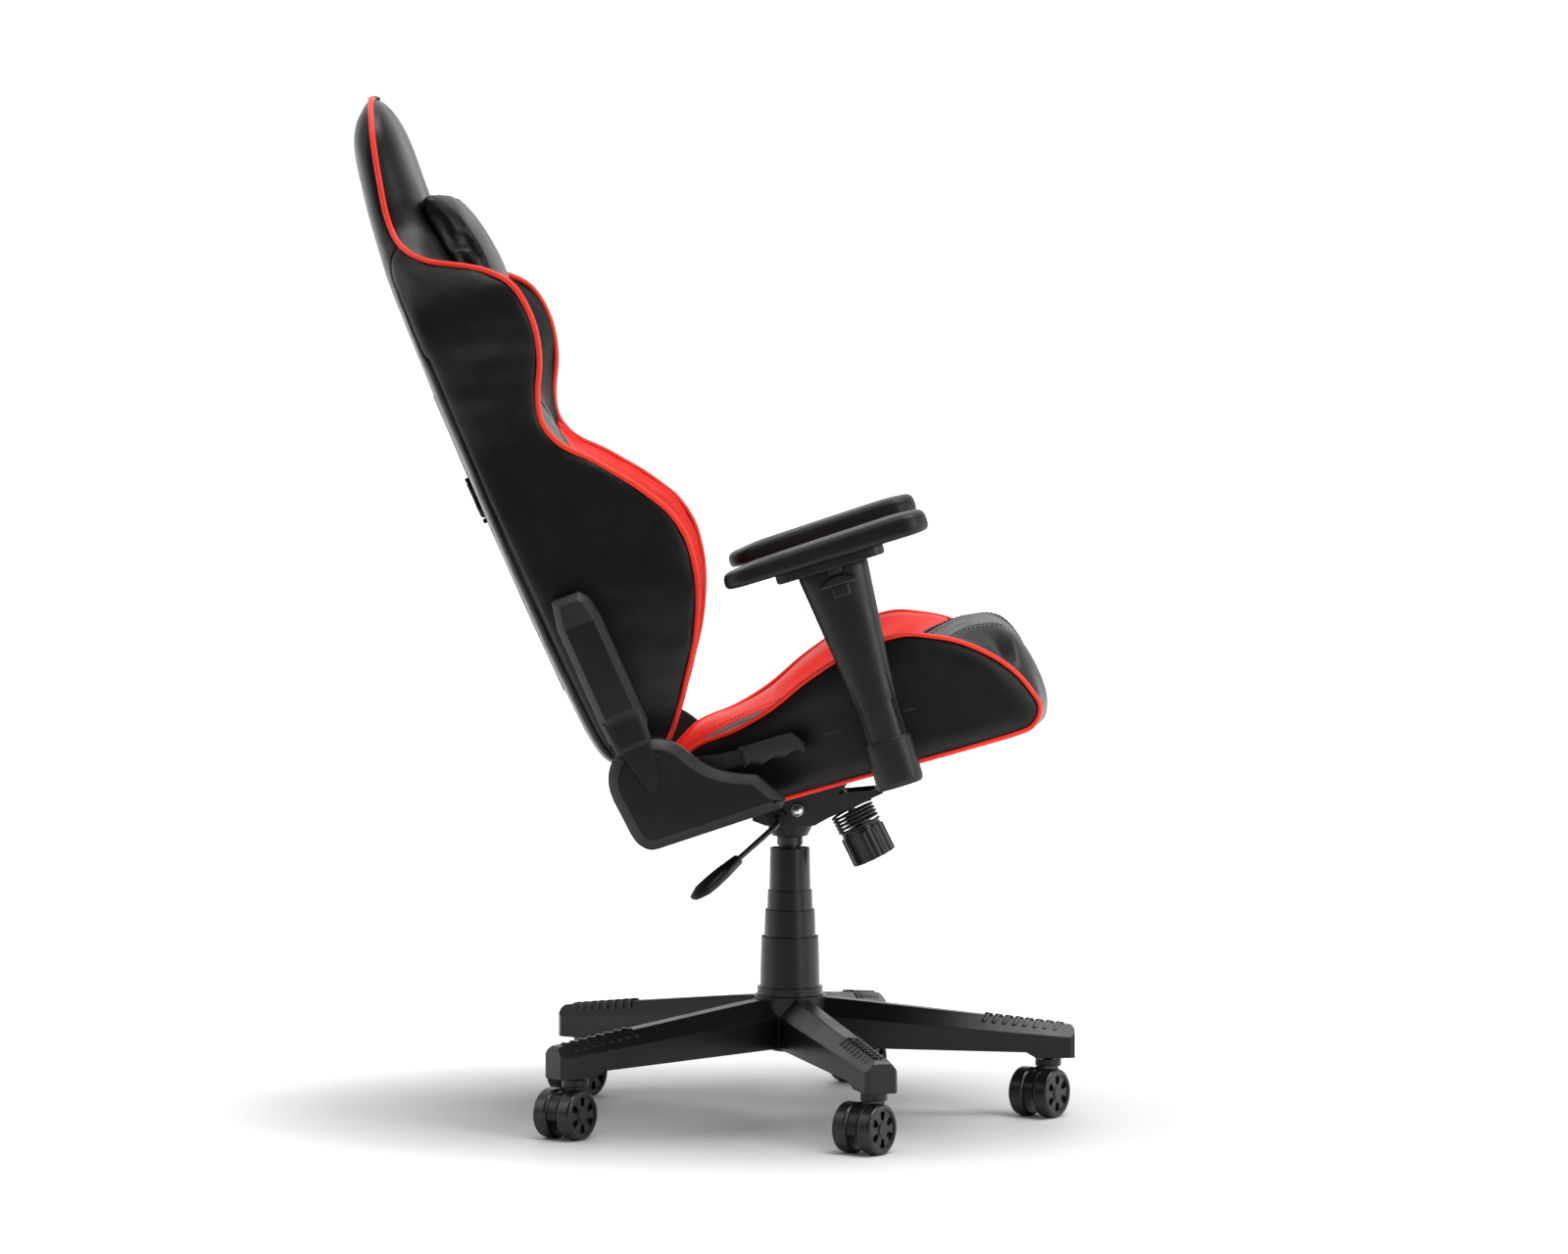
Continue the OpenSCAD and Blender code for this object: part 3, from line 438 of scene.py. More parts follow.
def thicken(obj, inside, thick=3.0):
    """Give a sheet its thickness, towards the point inside."""
    mesh = obj.data
    if sum((p.center - inside).dot(p.normal) * p.area for p in mesh.polygons) < 0:
        mesh.flip_normals()
    s = obj.modifiers.new("thickness", "SOLIDIFY")
    s.thickness = thick * MM
    s.offset = -1
    apply(obj)
    shade_smooth(obj.data)
    return obj


def sewn_piece(name, g, look, space, inside, body, stands_for=()):
    """A sewn leather panel with padding, made from a grid of points, that rides on body."""
    rows, cols = g.shape[:2]
    obj = build(name, g.reshape(-1, 3), band(rows, cols, closed=False), look, space)
    declare(thicken(obj, inside), body, stands_for)


def stitches(name, lines, look, space, pitch=5.5, length=3.9, radius=0.42):
    """Rows of thread: a small capsule for each stitch, along each (points, normals) line."""
    verts, faces = [], []
    for points, normals in lines:
        seg = np.linalg.norm(np.diff(points, axis=0), axis=1)
        run = np.concatenate([[0], np.cumsum(seg)])
        for s in np.arange(pitch, run[-1] - pitch, pitch):
            ends = sample([s - length / 2, s, s + length / 2], run, points)
            n = unit(sample(s, run, normals))
            side = np.cross(unit(ends[2] - ends[0]), n)
            base = len(verts)
            for e, up in zip(ends, (-0.25, 0.3, -0.25)):  # its middle stands proud of its ends
                for a in angles(6):
                    verts.append(e + n * up + radius * (cos(a) * side + sin(a) * n))
            faces += [tuple(base + k for k in face) for face in band(3, 6) + caps(3, 6)]
    return build(name, verts, faces, look, space)


# ---- Seat ----

SEAM_Y = 145      # long seams of the seat, from the middle
PIPE_Y = 257      # piped edge of the side panels
PER = 6           # samples from one outline point to the next

# Outlines in the seat's X and Z, from the rear underside round over the top: in the
# middle of the seat, and at the piped edge of a side panel. Point by point they match.
MIDDLE = [
    (-190, 42), (-194, 54), (-168, 66), (-130, 84), (-89, 98), (-40, 105), (0, 108), (38, 111),
    (74, 114), (108, 118), (146, 124), (190, 134), (230, 145), (268, 155), (296, 153), (314, 136),
    (324, 112), (329, 80), (328, 50), (319, 31), (298, 25), (200, 26), (100, 28), (0, 30),
    (-100, 32), (-170, 34),
]
SIDE = [
    (-190, 44), (-190, 60), (-162, 78), (-122, 105), (-89, 122), (-40, 127), (9, 139), (62, 161),
    (122, 178), (183, 180), (214, 169), (240, 156), (264, 138), (285, 117), (299, 97), (309, 74),
    (314, 54), (309, 39), (298, 31), (280, 29), (250, 29), (190, 30), (97, 32), (0, 32),
    (-95, 34), (-168, 37),
]
REAR_KEY, RED_KEY, FRONT_KEY = 1, 11.33, 19  # points where the rear, the red and the front end
COLS = PER * len(MIDDLE)
SEAT_MIDDLE = (60, 0, 75)


def taper(x):
    """The seat's width at x, as a share of its width at the front: it narrows to the rear."""
    return 1 - 0.2 * step(-x, -130, 110)


def seat_grid():
    """The seat's skin on the left, from the middle out to the piped edge, as rows of outline."""
    middle, edge = through(MIDDLE, PER, True), through(SIDE, PER, True)
    inner = np.linspace(0, SEAM_Y, 16)
    outer = SEAM_Y + (PIPE_Y - SEAM_Y) * np.linspace(0, 1, 22)[1:]
    place = np.arange(COLS) / PER
    top = step(place, 0.5, 3) * (1 - step(place, 17, 20))
    nose = step(place, 13, 15) * (1 - step(place, 19.5, 21.5))  # keeps its depth almost to the piping
    rows = []
    for y in np.concatenate([inner, outer]):
        f = float(step(y, SEAM_Y - 5, PIPE_Y - 26))
        late = min(1.0, max(0.0, (y - SEAM_Y) / (PIPE_Y - SEAM_Y))) ** 2.8
        mix = (f * (1 - nose) + late * nose)[:, None]
        ring = middle * (1 - mix) + edge * mix
        dish = 11 * min(1.0, y / SEAM_Y) ** 2.4 * (1 - f) * top * (1 - step(place, 11.5, 14))
        bulge = 3.5 * sin(pi * min(1, max(0, (y - SEAM_Y) / 70))) * top
        rows.append(np.stack([ring[:, 0], y * taper(ring[:, 0]), ring[:, 1] + dish + bulge], 1))
    return np.array(rows), len(inner) - 1


def side_grid(side):
    """The domed side panel, from the piped edge in to its own middle line."""
    edge = through(SIDE, PER, True)
    # Stations 12 mm apart on the middle line, so that the upper and lower halves share their points
    mid = np.stack([np.round(np.clip(edge[:, 0], -120, 225) / 12) * 12, np.full(COLS, 92.0)], 1)
    rows = []
    for s in np.linspace(0, 1, 24):
        ring = edge * (1 - s) + mid * s
        dome = PIPE_Y + 6.5 * (1 - (1 - min(1, s * 2.2)) ** 2.4)
        rows.append(np.stack([ring[:, 0], side * dome * taper(ring[:, 0]), ring[:, 1]], 1))
    return np.array(rows)


def oriented(g, centre):
    """The grid's normals, turned to point away from centre."""
    n = grid_normals(g)
    away = ((g - np.asarray(centre)) * n).sum(axis=2)
    return n if np.median(away) > 0 else -n


def only_left(node_name, side):
    """A CAD node that holds both sides is replaced once, by the piece on the left."""
    return (node_name,) if side > 0 else ()


def make_seat_edge(name, side, inside):
    """One side panel of the seat, and the piping round it."""
    g = side_grid(side)
    g = np.concatenate([g, g[:, :1]], 1)
    n = oriented(g, SEAT_MIDDLE)
    n[int(0.35 * len(g)):] = (0, side, 0)
    depth = np.linspace(0, 1, len(g))  # the relief dies away towards the flat middle
    relief = step(depth, 0, 0.2) * (1 - step(depth, 0.35, 0.75))
    g = g + n * (0.8 * waves(g, 80, 11 + side))[:, :, None] * relief[:, None, None]
    g = sew(g, n, [(0, 0, 0, COLS)], 1.2, 5, 0.35, seed=5 + side)
    sewn_piece(f"seat_side_{name}", g, BLACK, SEAT, inside, "seat", only_left("seat_bolsters", side))
    edge = through(SIDE, PER, True)
    line = np.stack([edge[:, 0], side * (PIPE_Y + 1.5) * taper(edge[:, 0]), edge[:, 1]], 1)
    out = line - np.array((60, side * PIPE_Y, 95))
    out[:, 1] = 0
    tuck = step(-line[:, 2], -60, -32)  # along the bottom it sits half under the side panel
    line = line + unit(out) * (1.2 - 2.4 * tuck)[:, None]
    declare(tube(f"seat_piping_{name}", line, 2.8, PIPING, SEAT, True), "seat")


def make_seat():
    """The seat's pan, its bolsters inside and in front, its side panels, piping and stitches."""
    inside = SEAT @ (Vector(SEAT_MIDDLE) * MM)
    left, seam = seat_grid()
    full = np.concatenate([left[::-1] * (1, -1, 1), left[1:]])
    m = len(left) - 1
    closed = np.concatenate([full, full[:, :1]], 1)
    normals = oriented(closed, SEAT_MIDDLE)
    red, rear, front = round(RED_KEY * PER), REAR_KEY * PER, FRONT_KEY * PER
    closed = closed + normals * waves(closed, 90, 4)[:, :, None]
    sewn = sew(closed, normals, [(0, m - seam, 0, COLS - 1), (0, m + seam, 0, COLS - 1)], seed=3)
    for lo, hi in ((0, m - seam), (m + seam, 2 * m)):
        sewn = sew(sewn, normals, [(1, red, lo, hi)], 2.6, 8, 0.6, seed=7)
    pan = sewn[m - seam:m + seam + 1]
    sewn_piece("seat_pan", pan, BLACK, SEAT, inside, "seat", ("seat_cushion",))
    for name, side, lo, hi in (("right", -1, 0, m - seam), ("left", 1, m + seam, 2 * m)):
        part = sewn[lo:hi + 1]
        inner = part[:, rear:red + 1]
        wrap = np.concatenate([part[:, red:], part[:, 1:rear + 1]], 1)
        sewn_piece(f"seat_bolster_inner_{name}", inner, RED, SEAT, inside, "seat")
        sewn_piece(f"seat_bolster_front_{name}", wrap, BLACK, SEAT, inside, "seat")
        make_seat_edge(name, side, inside)
        rows = [m + side * (seam + r) for r in (2, -3)]
        lines = [(sewn[r, rear:front], normals[r, rear:front]) for r in rows]
        declare(stitches(f"seat_stitches_{name}", lines, THREAD, SEAT), "seat")


# ---- Back ----

# Profiles against the height h along the back: X of the rear's middle, of the front's middle
# and of the piped edge, then half the width, the seam of the front's middle panel, and how
# far the side seam lies in front of the rear.
REAR_X = [
    (18, -38), (40, -52), (80, -58), (200, -61), (430, -61), (530, -58), (605, -55), (660, -54),
    (706, -49), (753, -43), (799, -34), (835, -25), (857, -14), (870, -2), (877, 8), (881, 18),
]
FRONT_X = [
    (18, 22), (40, 36), (70, 47), (100, 56), (200, 71), (300, 68), (400, 56), (500, 44), (600, 36),
    (700, 28), (760, 29), (800, 33), (832, 36), (852, 34), (866, 31), (875, 27), (881, 19),
]
EDGE_X = [
    (18, 12), (36, 38), (68, 68), (95, 89), (124, 111), (154, 129), (184, 143), (210, 151),
    (245, 156), (281, 150), (305, 138), (330, 123), (352, 107), (376, 89), (402, 66), (430, 55),
    (450, 56), (475, 65), (500, 79), (522, 88), (550, 94), (580, 94), (605, 87), (625, 70),
    (640, 50), (652, 30), (663, 12), (679, -5), (694, -14), (712, -18), (740, -17), (777, -9), (812, 0),
    (840, 8), (860, 14), (881, 18.5),
]
HALF_Y = [
    (18, 206), (60, 230), (130, 245), (230, 250), (330, 247), (440, 232), (520, 244),
    (570, 252), (605, 250), (632, 238), (660, 213), (688, 183), (714, 162), (745, 152), (790, 150),
    (881, 150),
]
SEAM_BACK = [(18, 138), (200, 150), (400, 138), (560, 130), (650, 112), (700, 98), (880, 80)]
SIDE_SEAM = [
    (18, 12), (200, 12), (480, 11), (560, 10.5), (568, 7), (640, 6), (672, 9), (690, 18), (704, 34),
    (881, 34),
]
TOP = 881        # the headrest's crest
WAIST = 416      # where the red of the inner wings ends
NECK = 706       # where the side panel's seam meets the piping
FOLD = 645       # how far down behind the wings the headrest's front reaches
K = 6            # samples from one ring point to the next
REAR_SEAM, PIPE, FRONT_SEAM, LAST = 3 * K, 6 * K, 10 * K, 12 * K


def back_ring(h):
    """Half ring of the back at height h, from the middle of the rear to the middle of the front."""
    x0, xa, xp = (float(smooth(c, h)) for c in (REAR_X, FRONT_X, EDGE_X))
    y1, ys = float(smooth(HALF_Y, h)), float(smooth(SEAM_BACK, h))
    if h > 790:  # the headrest's round top
        y1 *= (1 - (min(h, TOP - 0.15) - 790) ** 2.7 / (TOP - 790) ** 2.7) ** (1 / 2.7)
    deep = xp - x0
    k = min(1.0, y1 / 120)
    wing = [
        (x0, 0), (x0 + 3, 0.45 * y1), (x0 + 9, y1 - 44), (x0 + 17, y1 - 11), (x0 + 0.3 * deep + 8, y1 - 1),
        (x0 + 0.68 * deep, y1 + 1), (xp - 1, y1 - 4), (xp - 6, y1 - 14),
        (xp - 8 + 0.3 * (xa - xp), y1 - 0.32 * (y1 - ys)), (xp - 2 + 0.72 * (xa - xp), y1 - 0.64 * (y1 - ys)),
        (xa, ys), (xa - 1, 0.55 * ys), (xa - 2, 0),
    ]
    head = [
        (x0, 0), (x0 + 1, 0.45 * y1), (x0 + 4.5, y1 - 46 * k), (x0 + 0.24 * deep + 2, y1 - 17 * k),
        (x0 + 0.55 * deep, y1 - 4 * k), (xp - 5, y1 - 0.5), (xp, y1), (xp + 0.22 * (xa - xp), y1 - 1.5 * k),
        (xp + 0.52 * (xa - xp), y1 - 7 * k), (xp + 0.8 * (xa - xp), y1 - 20 * k), (xa - 2, y1 - 42 * k),
        (xa - 0.2, 0.4 * y1), (xa, 0),
    ]
    w = float(step(h, 640, 712))
    pts = np.array(wing) * (1 - w) + np.array(head) * w
    if h < 44:  # the padded foot turns under
        turn = 1 - 0.16 * (1 - sqrt(max(0.0, 1 - ((44 - h) / 26) ** 2)))
        mid = np.array([(x0 + xa) / 2, 0])
        pts = mid + (pts - mid) * turn
    ring = through(pts, K)
    # The first columns are spread afresh, so that the side seam lies where SIDE_SEAM puts it
    u = np.arange(PIPE + 1)
    x = ring[:PIPE + 1, 0]
    at = x.min() + min(float(smooth(SIDE_SEAM, h)) + 9 * (1 - w), 0.96 * (x[-1] - x.min()))
    cut = float(u[2 * K:][np.argmax(x[2 * K:] >= at)])
    prev = x[int(cut) - 1]
    cut += (at - prev) / max(x[int(cut)] - prev, 1e-6) - 1
    rear, front = np.linspace(0, cut, REAR_SEAM + 1), np.linspace(cut, PIPE, PIPE - REAR_SEAM + 1)
    ring[:PIPE + 1] = sample(np.concatenate([rear, front[1:]]), u, ring[:PIPE + 1])
    return np.column_stack([ring, np.full(len(ring), h)])


def make_back():
    """The back's sewn panels, its piping, foot and stitches."""
    crown = 842 + (TOP - 842) * np.sin(np.linspace(0, pi / 2, 18))
    stations = np.concatenate([[18, 21, 25, 30, 36], np.arange(44, 560, 8.0), np.arange(560, 842, 6.0),
                               crown])
    left = np.array([back_ring(h) for h in stations])
    waist, neck, fold, crest = (int(np.argmin(np.abs(stations - h))) for h in (WAIST, NECK, FOLD, 760))
    calm = (1 - step(stations, 780, 840))[:, None]  # no relief near the top, where the rings close up
    # The seam at the waist runs down from the piping to the middle panel: the rows lean with it
    column = np.arange(left.shape[1])
    lean = 26 * np.where(column <= PIPE, column / PIPE, 1 - 2 * (column - PIPE) / (FRONT_SEAM - PIPE))
    lean = np.where(column > FRONT_SEAM, -26 * (LAST - column) / (LAST - FRONT_SEAM), lean)
    for c in column:
        at = stations + lean[c] * np.exp(-((stations - WAIST) / 70) ** 2)
        left[:, c] = sample(at, stations, left[:, c])
    mirror = left[:, ::-1] * (1, -1, 1)
    full = np.concatenate([left, mirror[:, 1:]], 1)  # rear middle, left, front middle, right, rear middle
    last = full.shape[1] - 1
    core = (smooth(REAR_X, stations) + smooth(FRONT_X, stations)) / 2
    normals = oriented(full, np.stack([core, 0 * core, stations], 1)[:, None])
    cols = [REAR_SEAM, PIPE, FRONT_SEAM, last - FRONT_SEAM, last - PIPE, last - REAR_SEAM]
    column = np.arange(last + 1)
    on_side = step(np.minimum(column, last - column), 2 * K, 5 * K)
    smooth_skin = full
    relief = waves(full, 110, 8) + 0.4 * waves(full, 45, 9)
    full = full + normals * ((0.3 + 0.9 * on_side) * calm * relief)[:, :, None]
    sewn = sew(full, normals, [(1, c, 0, neck) for c in (cols[0], cols[5])], 1.6, 6, 0.35, seed=2)
    sewn = sew(sewn, normals, [(1, c, 0, fold + 2) for c in (cols[2], cols[3])], 3.0, 9, 1.0, seed=3)
    for lo, hi in ((cols[1], cols[2]), (cols[3], cols[4])):
        sewn = sew(sewn, normals, [(0, waist, lo, hi)], 2.8, 8, 0.6, seed=12)
        edge_seam = lo + 5 if lo == cols[1] else hi - 5  # just inside the piping
        sewn = sew(sewn, normals, [(1, edge_seam, 3, waist)], 2.4, 5, 0.4, seed=6)
    part = sewn[crest:, cols[1]:cols[4] + 1]
    for _ in range(30):  # the front of the headrest is stuffed smooth, with no edge below the piping
        around = part[2:, 1:-1] + part[:-2, 1:-1] + part[1:-1, 2:] + part[1:-1, :-2]
        part[1:-1, 1:-1] += 0.2 * (around - 4 * part[1:-1, 1:-1])

    def piece(name, part, look=BLACK, stands_for=()):
        inside = BACK @ Vector(part.mean(axis=(0, 1)) * (0.2, 0.2, 1.0) * MM)
        sewn_piece(name, part, look, BACK, inside, "back", stands_for)

    rear = np.concatenate([sewn[:, cols[5]:-1], sewn[:, :cols[0] + 1]], 1)
    piece("back_rear_panel", rear, stands_for=("back_cushion",))
    piece("back_front_panel", sewn[:fold + 1, cols[2]:cols[3] + 1])
    piece("headrest_front", sewn[fold:, cols[1]:cols[4] + 1])
    for (name, side), (a, b, c) in zip(SIDES, (cols[:3], cols[:2:-1])):
        flank, wing = (slice(min(ends), max(ends) + 1) for ends in ((a, b), (b, c)))
        piece(f"back_side_{name}", sewn[:, flank], stands_for=only_left("back_bolsters", side))
        piece(f"back_wing_lower_{name}", sewn[:waist + 1, wing], RED)
        piece(f"back_wing_upper_{name}", sewn[waist:fold + 1, wing])
    edges = [smooth_skin[1:, c] + normals[1:, c] * 2.0 * calm[1:] for c in (cols[1], cols[4])]
    make_back_piping(*edges)
    make_back_foot(sewn[0, :-1])
    lines = [(sewn[2:fold, c + d], normals[2:fold, c + d]) for c in cols[2:4] for d in (-1, 1)]
    declare(stitches("back_stitches", lines, THREAD, BACK), "back")


def make_back_piping(left, right):
    """Piping up one edge, over the headrest and down the other edge."""
    arch = np.concatenate([left, right[::-1]])
    keep = [0]
    for i in range(1, len(arch)):
        if np.linalg.norm(arch[i] - arch[keep[-1]]) > 5:
            keep.append(i)
    declare(tube("back_piping", through(arch[keep], 3), 3.5, PIPING, BACK), "back")


def make_back_foot(row):
    """The panel that closes the back's foot, inside its lowest row."""
    foot = row + (0, 0, 0.6)
    mid = foot.mean(axis=0)
    n = len(foot)
    inner = mid + (foot - mid) * 0.6 - (0, 0, 3)
    verts = np.concatenate([foot, inner, [mid - (0, 0, 4)]])
    faces = band(2, n) + [(n + i, n + (i + 1) % n, 2 * n) for i in range(n)]
    sole = build("back_foot_panel", verts, faces, BLACK, BACK)
    declare(thicken(sole, BACK @ Vector((0, 0, 60 * MM))), "back")


# ---- Pillows ----

def pillow_block(half_w, half_h, back, front):
    """A D-shaped block: flat behind, domed in front, its ends drawn in. Width along Y, height along Z."""
    verts = []
    n_y, n_t = 31, 44
    for i in range(n_y):
        u = -cos(pi * i / (n_y - 1))
        end = (1 - abs(u) ** 7) ** 0.5
        dome = 0.2 + 0.8 * (1 - abs(u) ** 3) ** 0.7
        for a in angles(n_t):
            c, s = cos(a), sin(a)
            z = half_h * (0.86 + 0.14 * end) * signed_power(s, 0.86)
            x = front * dome * c ** 1.45 if c > 0 else -back * (0.6 + 0.4 * end) * abs(c) ** 0.4
            verts.append((x, u * half_w, z))
    return verts, band(n_y, n_t) + [face[::-1] for face in caps(n_y, n_t)]


def inflate(obj, voxel=5.0, pressure=4.0, cap=9.0, frames=20):
    """Swell a closed block as cloth under pressure, then keep each point near where it began."""
    r = obj.modifiers.new("remesh", "REMESH")
    r.mode = "VOXEL"
    r.voxel_size = voxel * MM
    apply(obj)
    start = np.array([v.co[:] for v in obj.data.vertices])
    c = obj.modifiers.new("cloth", "CLOTH")
    settings = {"use_pressure": True, "uniform_pressure_force": pressure, "quality": 5, "mass": 0.3,
                "tension_stiffness": 12, "compression_stiffness": 12, "bending_stiffness": 0.6,
                "shrink_min": -0.05}
    for key, value in settings.items():
        setattr(c.settings, key, value)
    c.settings.effector_weights.gravity = 0
    c.collision_settings.use_collision = False
    scene = bpy.context.scene
    for f in range(1, frames + 1):
        scene.frame_set(f)
    apply(obj)
    scene.frame_set(1)
    end = np.array([v.co[:] for v in obj.data.vertices])
    move = end - start
    far = np.linalg.norm(move, axis=1)
    scale = np.minimum(1, cap * MM / np.maximum(far, 1e-9))
    end = start + move * scale[:, None]
    obj.data.vertices.foreach_set("co", end.ravel())
    obj.data.update()
    return subdivide(obj)


def groove(obj, path, depth, width, space):
    """Press a seam into a finished mesh along a path in a local frame."""
    pts = [space @ Vector(p) for p in np.asarray(path) * MM]
    tree = KDTree(len(pts))
    for i, p in enumerate(pts):
        tree.insert(p, i)
    tree.balance()
    obj.data.update()
    for v in obj.data.vertices:
        d = tree.find(v.co)[2]
        if d < width * MM:
            v.co -= v.normal * depth * MM * (1 - d / (width * MM)) ** 2


def make_pillow(name, node_name, at, lean, half_w, half_h, back, front):
    """A stuffed pillow that lies on the back's front."""
    place = BACK @ Matrix.Translation(Vector(at) * MM) @ Matrix.Rotation(radians(lean), 4, "Y")
    verts, faces = pillow_block(half_w, half_h, back, front)
    obj = inflate(build(name, verts, faces, BLACK, place))
    # The seam runs round where the domed front meets the flat back
    seam = [(1, half_w * signed_power(cos(a), 0.4), half_h * signed_power(sin(a), 0.4))
            for a in np.linspace(0, 2 * pi, 240)]
    groove(obj, seam, 2.0, 8, place)
    declare(obj, "back", (node_name,))


# ---- Straps and buckle ----

def ribbon(name, path, half_w, thick, look, space):
    """Flat strap: a path in the local frame, widened along Y."""
    p = np.asarray(path, float)
    across = np.array((0.0, 1.0, 0.0))
    n = unit(np.cross(unit(np.gradient(p, axis=0)), across))
    section = [(-1, 0.5), (-0.96, 1), (0.96, 1), (1, 0.5), (1, -0.5), (0.96, -1), (-0.96, -1), (-1, -0.5)]
    rings = [[q + across * half_w * u + n[i] * thick / 2 * v for u, v in section] for i, q in enumerate(p)]
    return stack(name, rings, look, space)


def make_straps():
    """The strap behind the back, and its side-release buckle with a slot bar at each end."""
    points = [(-64.5, 128), (-65.5, 220), (-65.5, 330), (-64.5, 430), (-63.5, 480), (-62.5, 522)]
    strap = ribbon("back_strap", through([(x, 0, z) for x, z in points], 8), 17, 1.6, WEBBING, BACK)
    declare(strap, "back", ("straps",))
    body = [(-20, -22), (-22, -14), (-22, -4), (-17, 2), (-19, 10), (-21, 21), (-14, 23), (14, 23),
            (21, 21), (19, 10), (17, 2), (22, -4), (22, -14), (20, -22), (8, -24), (-8, -24)]
    bar = [(-22, -3), (22, -3), (22, 3), (-22, 3)]
    for name, outline, at, rear, front, edge in (("strap_buckle", body, 385, -70.4, -64.6, 1.4),
                                                 ("strap_bar_0", bar, 357, -70.0, -65.5, 1.2),
                                                 ("strap_bar_1", bar, 411, -70.0, -65.5, 1.2)):
        rings = [[(x, y, z + at) for y, z in outline] for x in (rear, front)]
        declare(finish_hard(stack(name, rings, NYLON, BACK, soft=False), edge), "back")


# ---- Hard pieces ----

def stack(name, rings, look, space, soft=True):
    """Rings of equal length joined into a solid, closed at both ends."""
    n = len(rings[0])
    verts = [p for r in rings for p in r]
    return build(name, verts, band(len(rings), n) + caps(len(rings), n), look, space, soft)


def inset(outline, d):
    """The outline moved inwards by d, for an outline that runs anticlockwise."""
    p = np.asarray(outline, float)
    after = unit(np.roll(p, -1, 0) - p)[:, ::-1] * (-1, 1)
    before = np.roll(after, 1, 0)
    mid = unit(after + before)
    return p + mid * (d / np.maximum((mid * before).sum(axis=1), 0.35))[:, None]


def shell(name, outline, levels, look, space, side):
    """A moulded cover: outline rings at (inset, Y) levels, closed at both ends, on one side."""
    pts = np.asarray(outline, float)
    after = np.roll(pts, -1, 0)
    if (pts[:, 0] * after[:, 1] - after[:, 0] * pts[:, 1]).sum() < 0:  # turn it anticlockwise
        pts = pts[::-1]
    rings = [[(x, side * y, z) for x, z in inset(pts, d)] for d, y in levels]
    return stack(name, rings, look, space, soft=False)


def cover(name, outline, levels, look, space, side, edge, body, replaces=(), angle=30):
    """A shell with rounded edges that rides on body."""
    obj = finish_hard(shell(name, outline, levels, look, space, side), edge, angle)
    return declare(obj, body, replaces)


def circle(radius, sides):
    return [(radius * cos(a), radius * sin(a)) for a in angles(sides)]


# The hinge cover's outline round its rear and foot, and its slope from the front up to the back
HINGE_OUTLINE = [
    (-127, 149), (-150, 152), (-170, 149), (-186, 139), (-196, 122), (-199, 103), (-194, 71), (-188, 42),
    (-181, 31), (-172, 25), (-164, 24), (-80, 26), (-11, 28), (-4, 36), (-28, 74),
]
HINGE_SLOPE = [(-28, 74), (-58, 86), (-74, 96), (-87, 108), (-96, 121), (-104, 132), (-113, 141), (-127, 149)]


def make_hinge_covers():
    rear, slope = through(HINGE_OUTLINE[:11], 3), through(HINGE_SLOPE, 3)[1:-1]
    outline = np.concatenate([rear, HINGE_OUTLINE[11:], slope])
    body = [(1.0, 262), (0, 263), (0, 280), (11.5, 289.6), (12.4, 288.6), (13.2, 288.6)]
    face = [(12.6, 282), (12.6, 288.9), (13.4, 289.3)]
    ring = [(0.4, 280), (0, 290), (0.9, 290.9)]
    for name, side in SIDES:
        cover(f"hinge_cover_{name}", outline, body, COVER, SEAT, side, 0.7, "seat",
              replaces=only_left("hinge_covers", side), angle=28)
        cover(f"hinge_face_{name}", outline, face, COVER_DARK, SEAT, side, 0.3, "seat", angle=28)
        cover(f"hinge_ring_{name}", circle(34, 72), ring, COVER_DARK, BACK, side, 0.3, "back", angle=50)


def make_arm_covers():
    """Covers of the back's hinge arms: a body with a flat face, a knee, and a tongue over the hinge."""
    body = [(-26, 58), (22, 58), (27, 68), (27, 204), (23, 228), (15, 239), (-19, 241), (-26, 208)]
    face = [(-17.5, 90), (18.5, 90), (18.5, 203), (-17.5, 203)]
    tongue = [(-16, 78), (-16, 43), (-6, -10), (7, -11), (17, 16), (19, 48), (19, 78)]
    knee = [(-22, 44), (-16, 42), (18, 42), (24, 50), (25, 86), (-24, 86)]
    out, up = (np.array(BACK)[:3, k] for k in (1, 2))
    foot = np.array(BACK @ Vector((0, 0, 42 * MM)))
    for name, side in SIDES:
        cover(f"back_arm_cover_{name}", body, [(0, 252), (0, 279), (8.5, 288.5)], COVER, BACK, side,
              0.7, "back", replaces=only_left("back_arm_covers", side), angle=20)
        cover(f"back_arm_face_{name}", face, [(0, 284), (0, 289.0), (0.8, 289.4)], COVER_DARK, BACK, side,
              0.3, "back")
        cover(f"back_arm_tongue_{name}", tongue, [(0.3, 288), (0, 292.0), (1.2, 293.4)], COVER_DARK, BACK,
              side, 0.4, "back")
        cap = shell(f"back_arm_knee_{name}", knee, [(0, 284), (0, 290.5), (3.5, 294.5)], COVER, BACK, side)
        for v in cap.data.vertices:  # its face leans back towards the arm's top
            height = float((np.array(v.co) - foot) @ up)
            v.co -= Vector(out * side * height * 0.13)
        declare(finish_hard(cap, 0.5), "back")


def make_grip():
    """Recline lever's grip, with its wavy underside and chamfered face."""
    outline = [(-40, 109), (25, 109), (36, 94), (34, 82), (28, 85.5), (22, 88), (16, 86.5), (10, 84), (3, 85),
               (-4, 87), (-11, 85.5), (-18, 83), (-24, 85), (-30, 88), (-35, 87.5), (-40, 85)]
    cover("recline_grip_cover", outline, [(0.8, 254.6), (0, 255.4), (0, 268.5), (4.2, 273)], COVER, SEAT, -1,
          0.5, "recline_lever", replaces=("recline_grip",), angle=20)


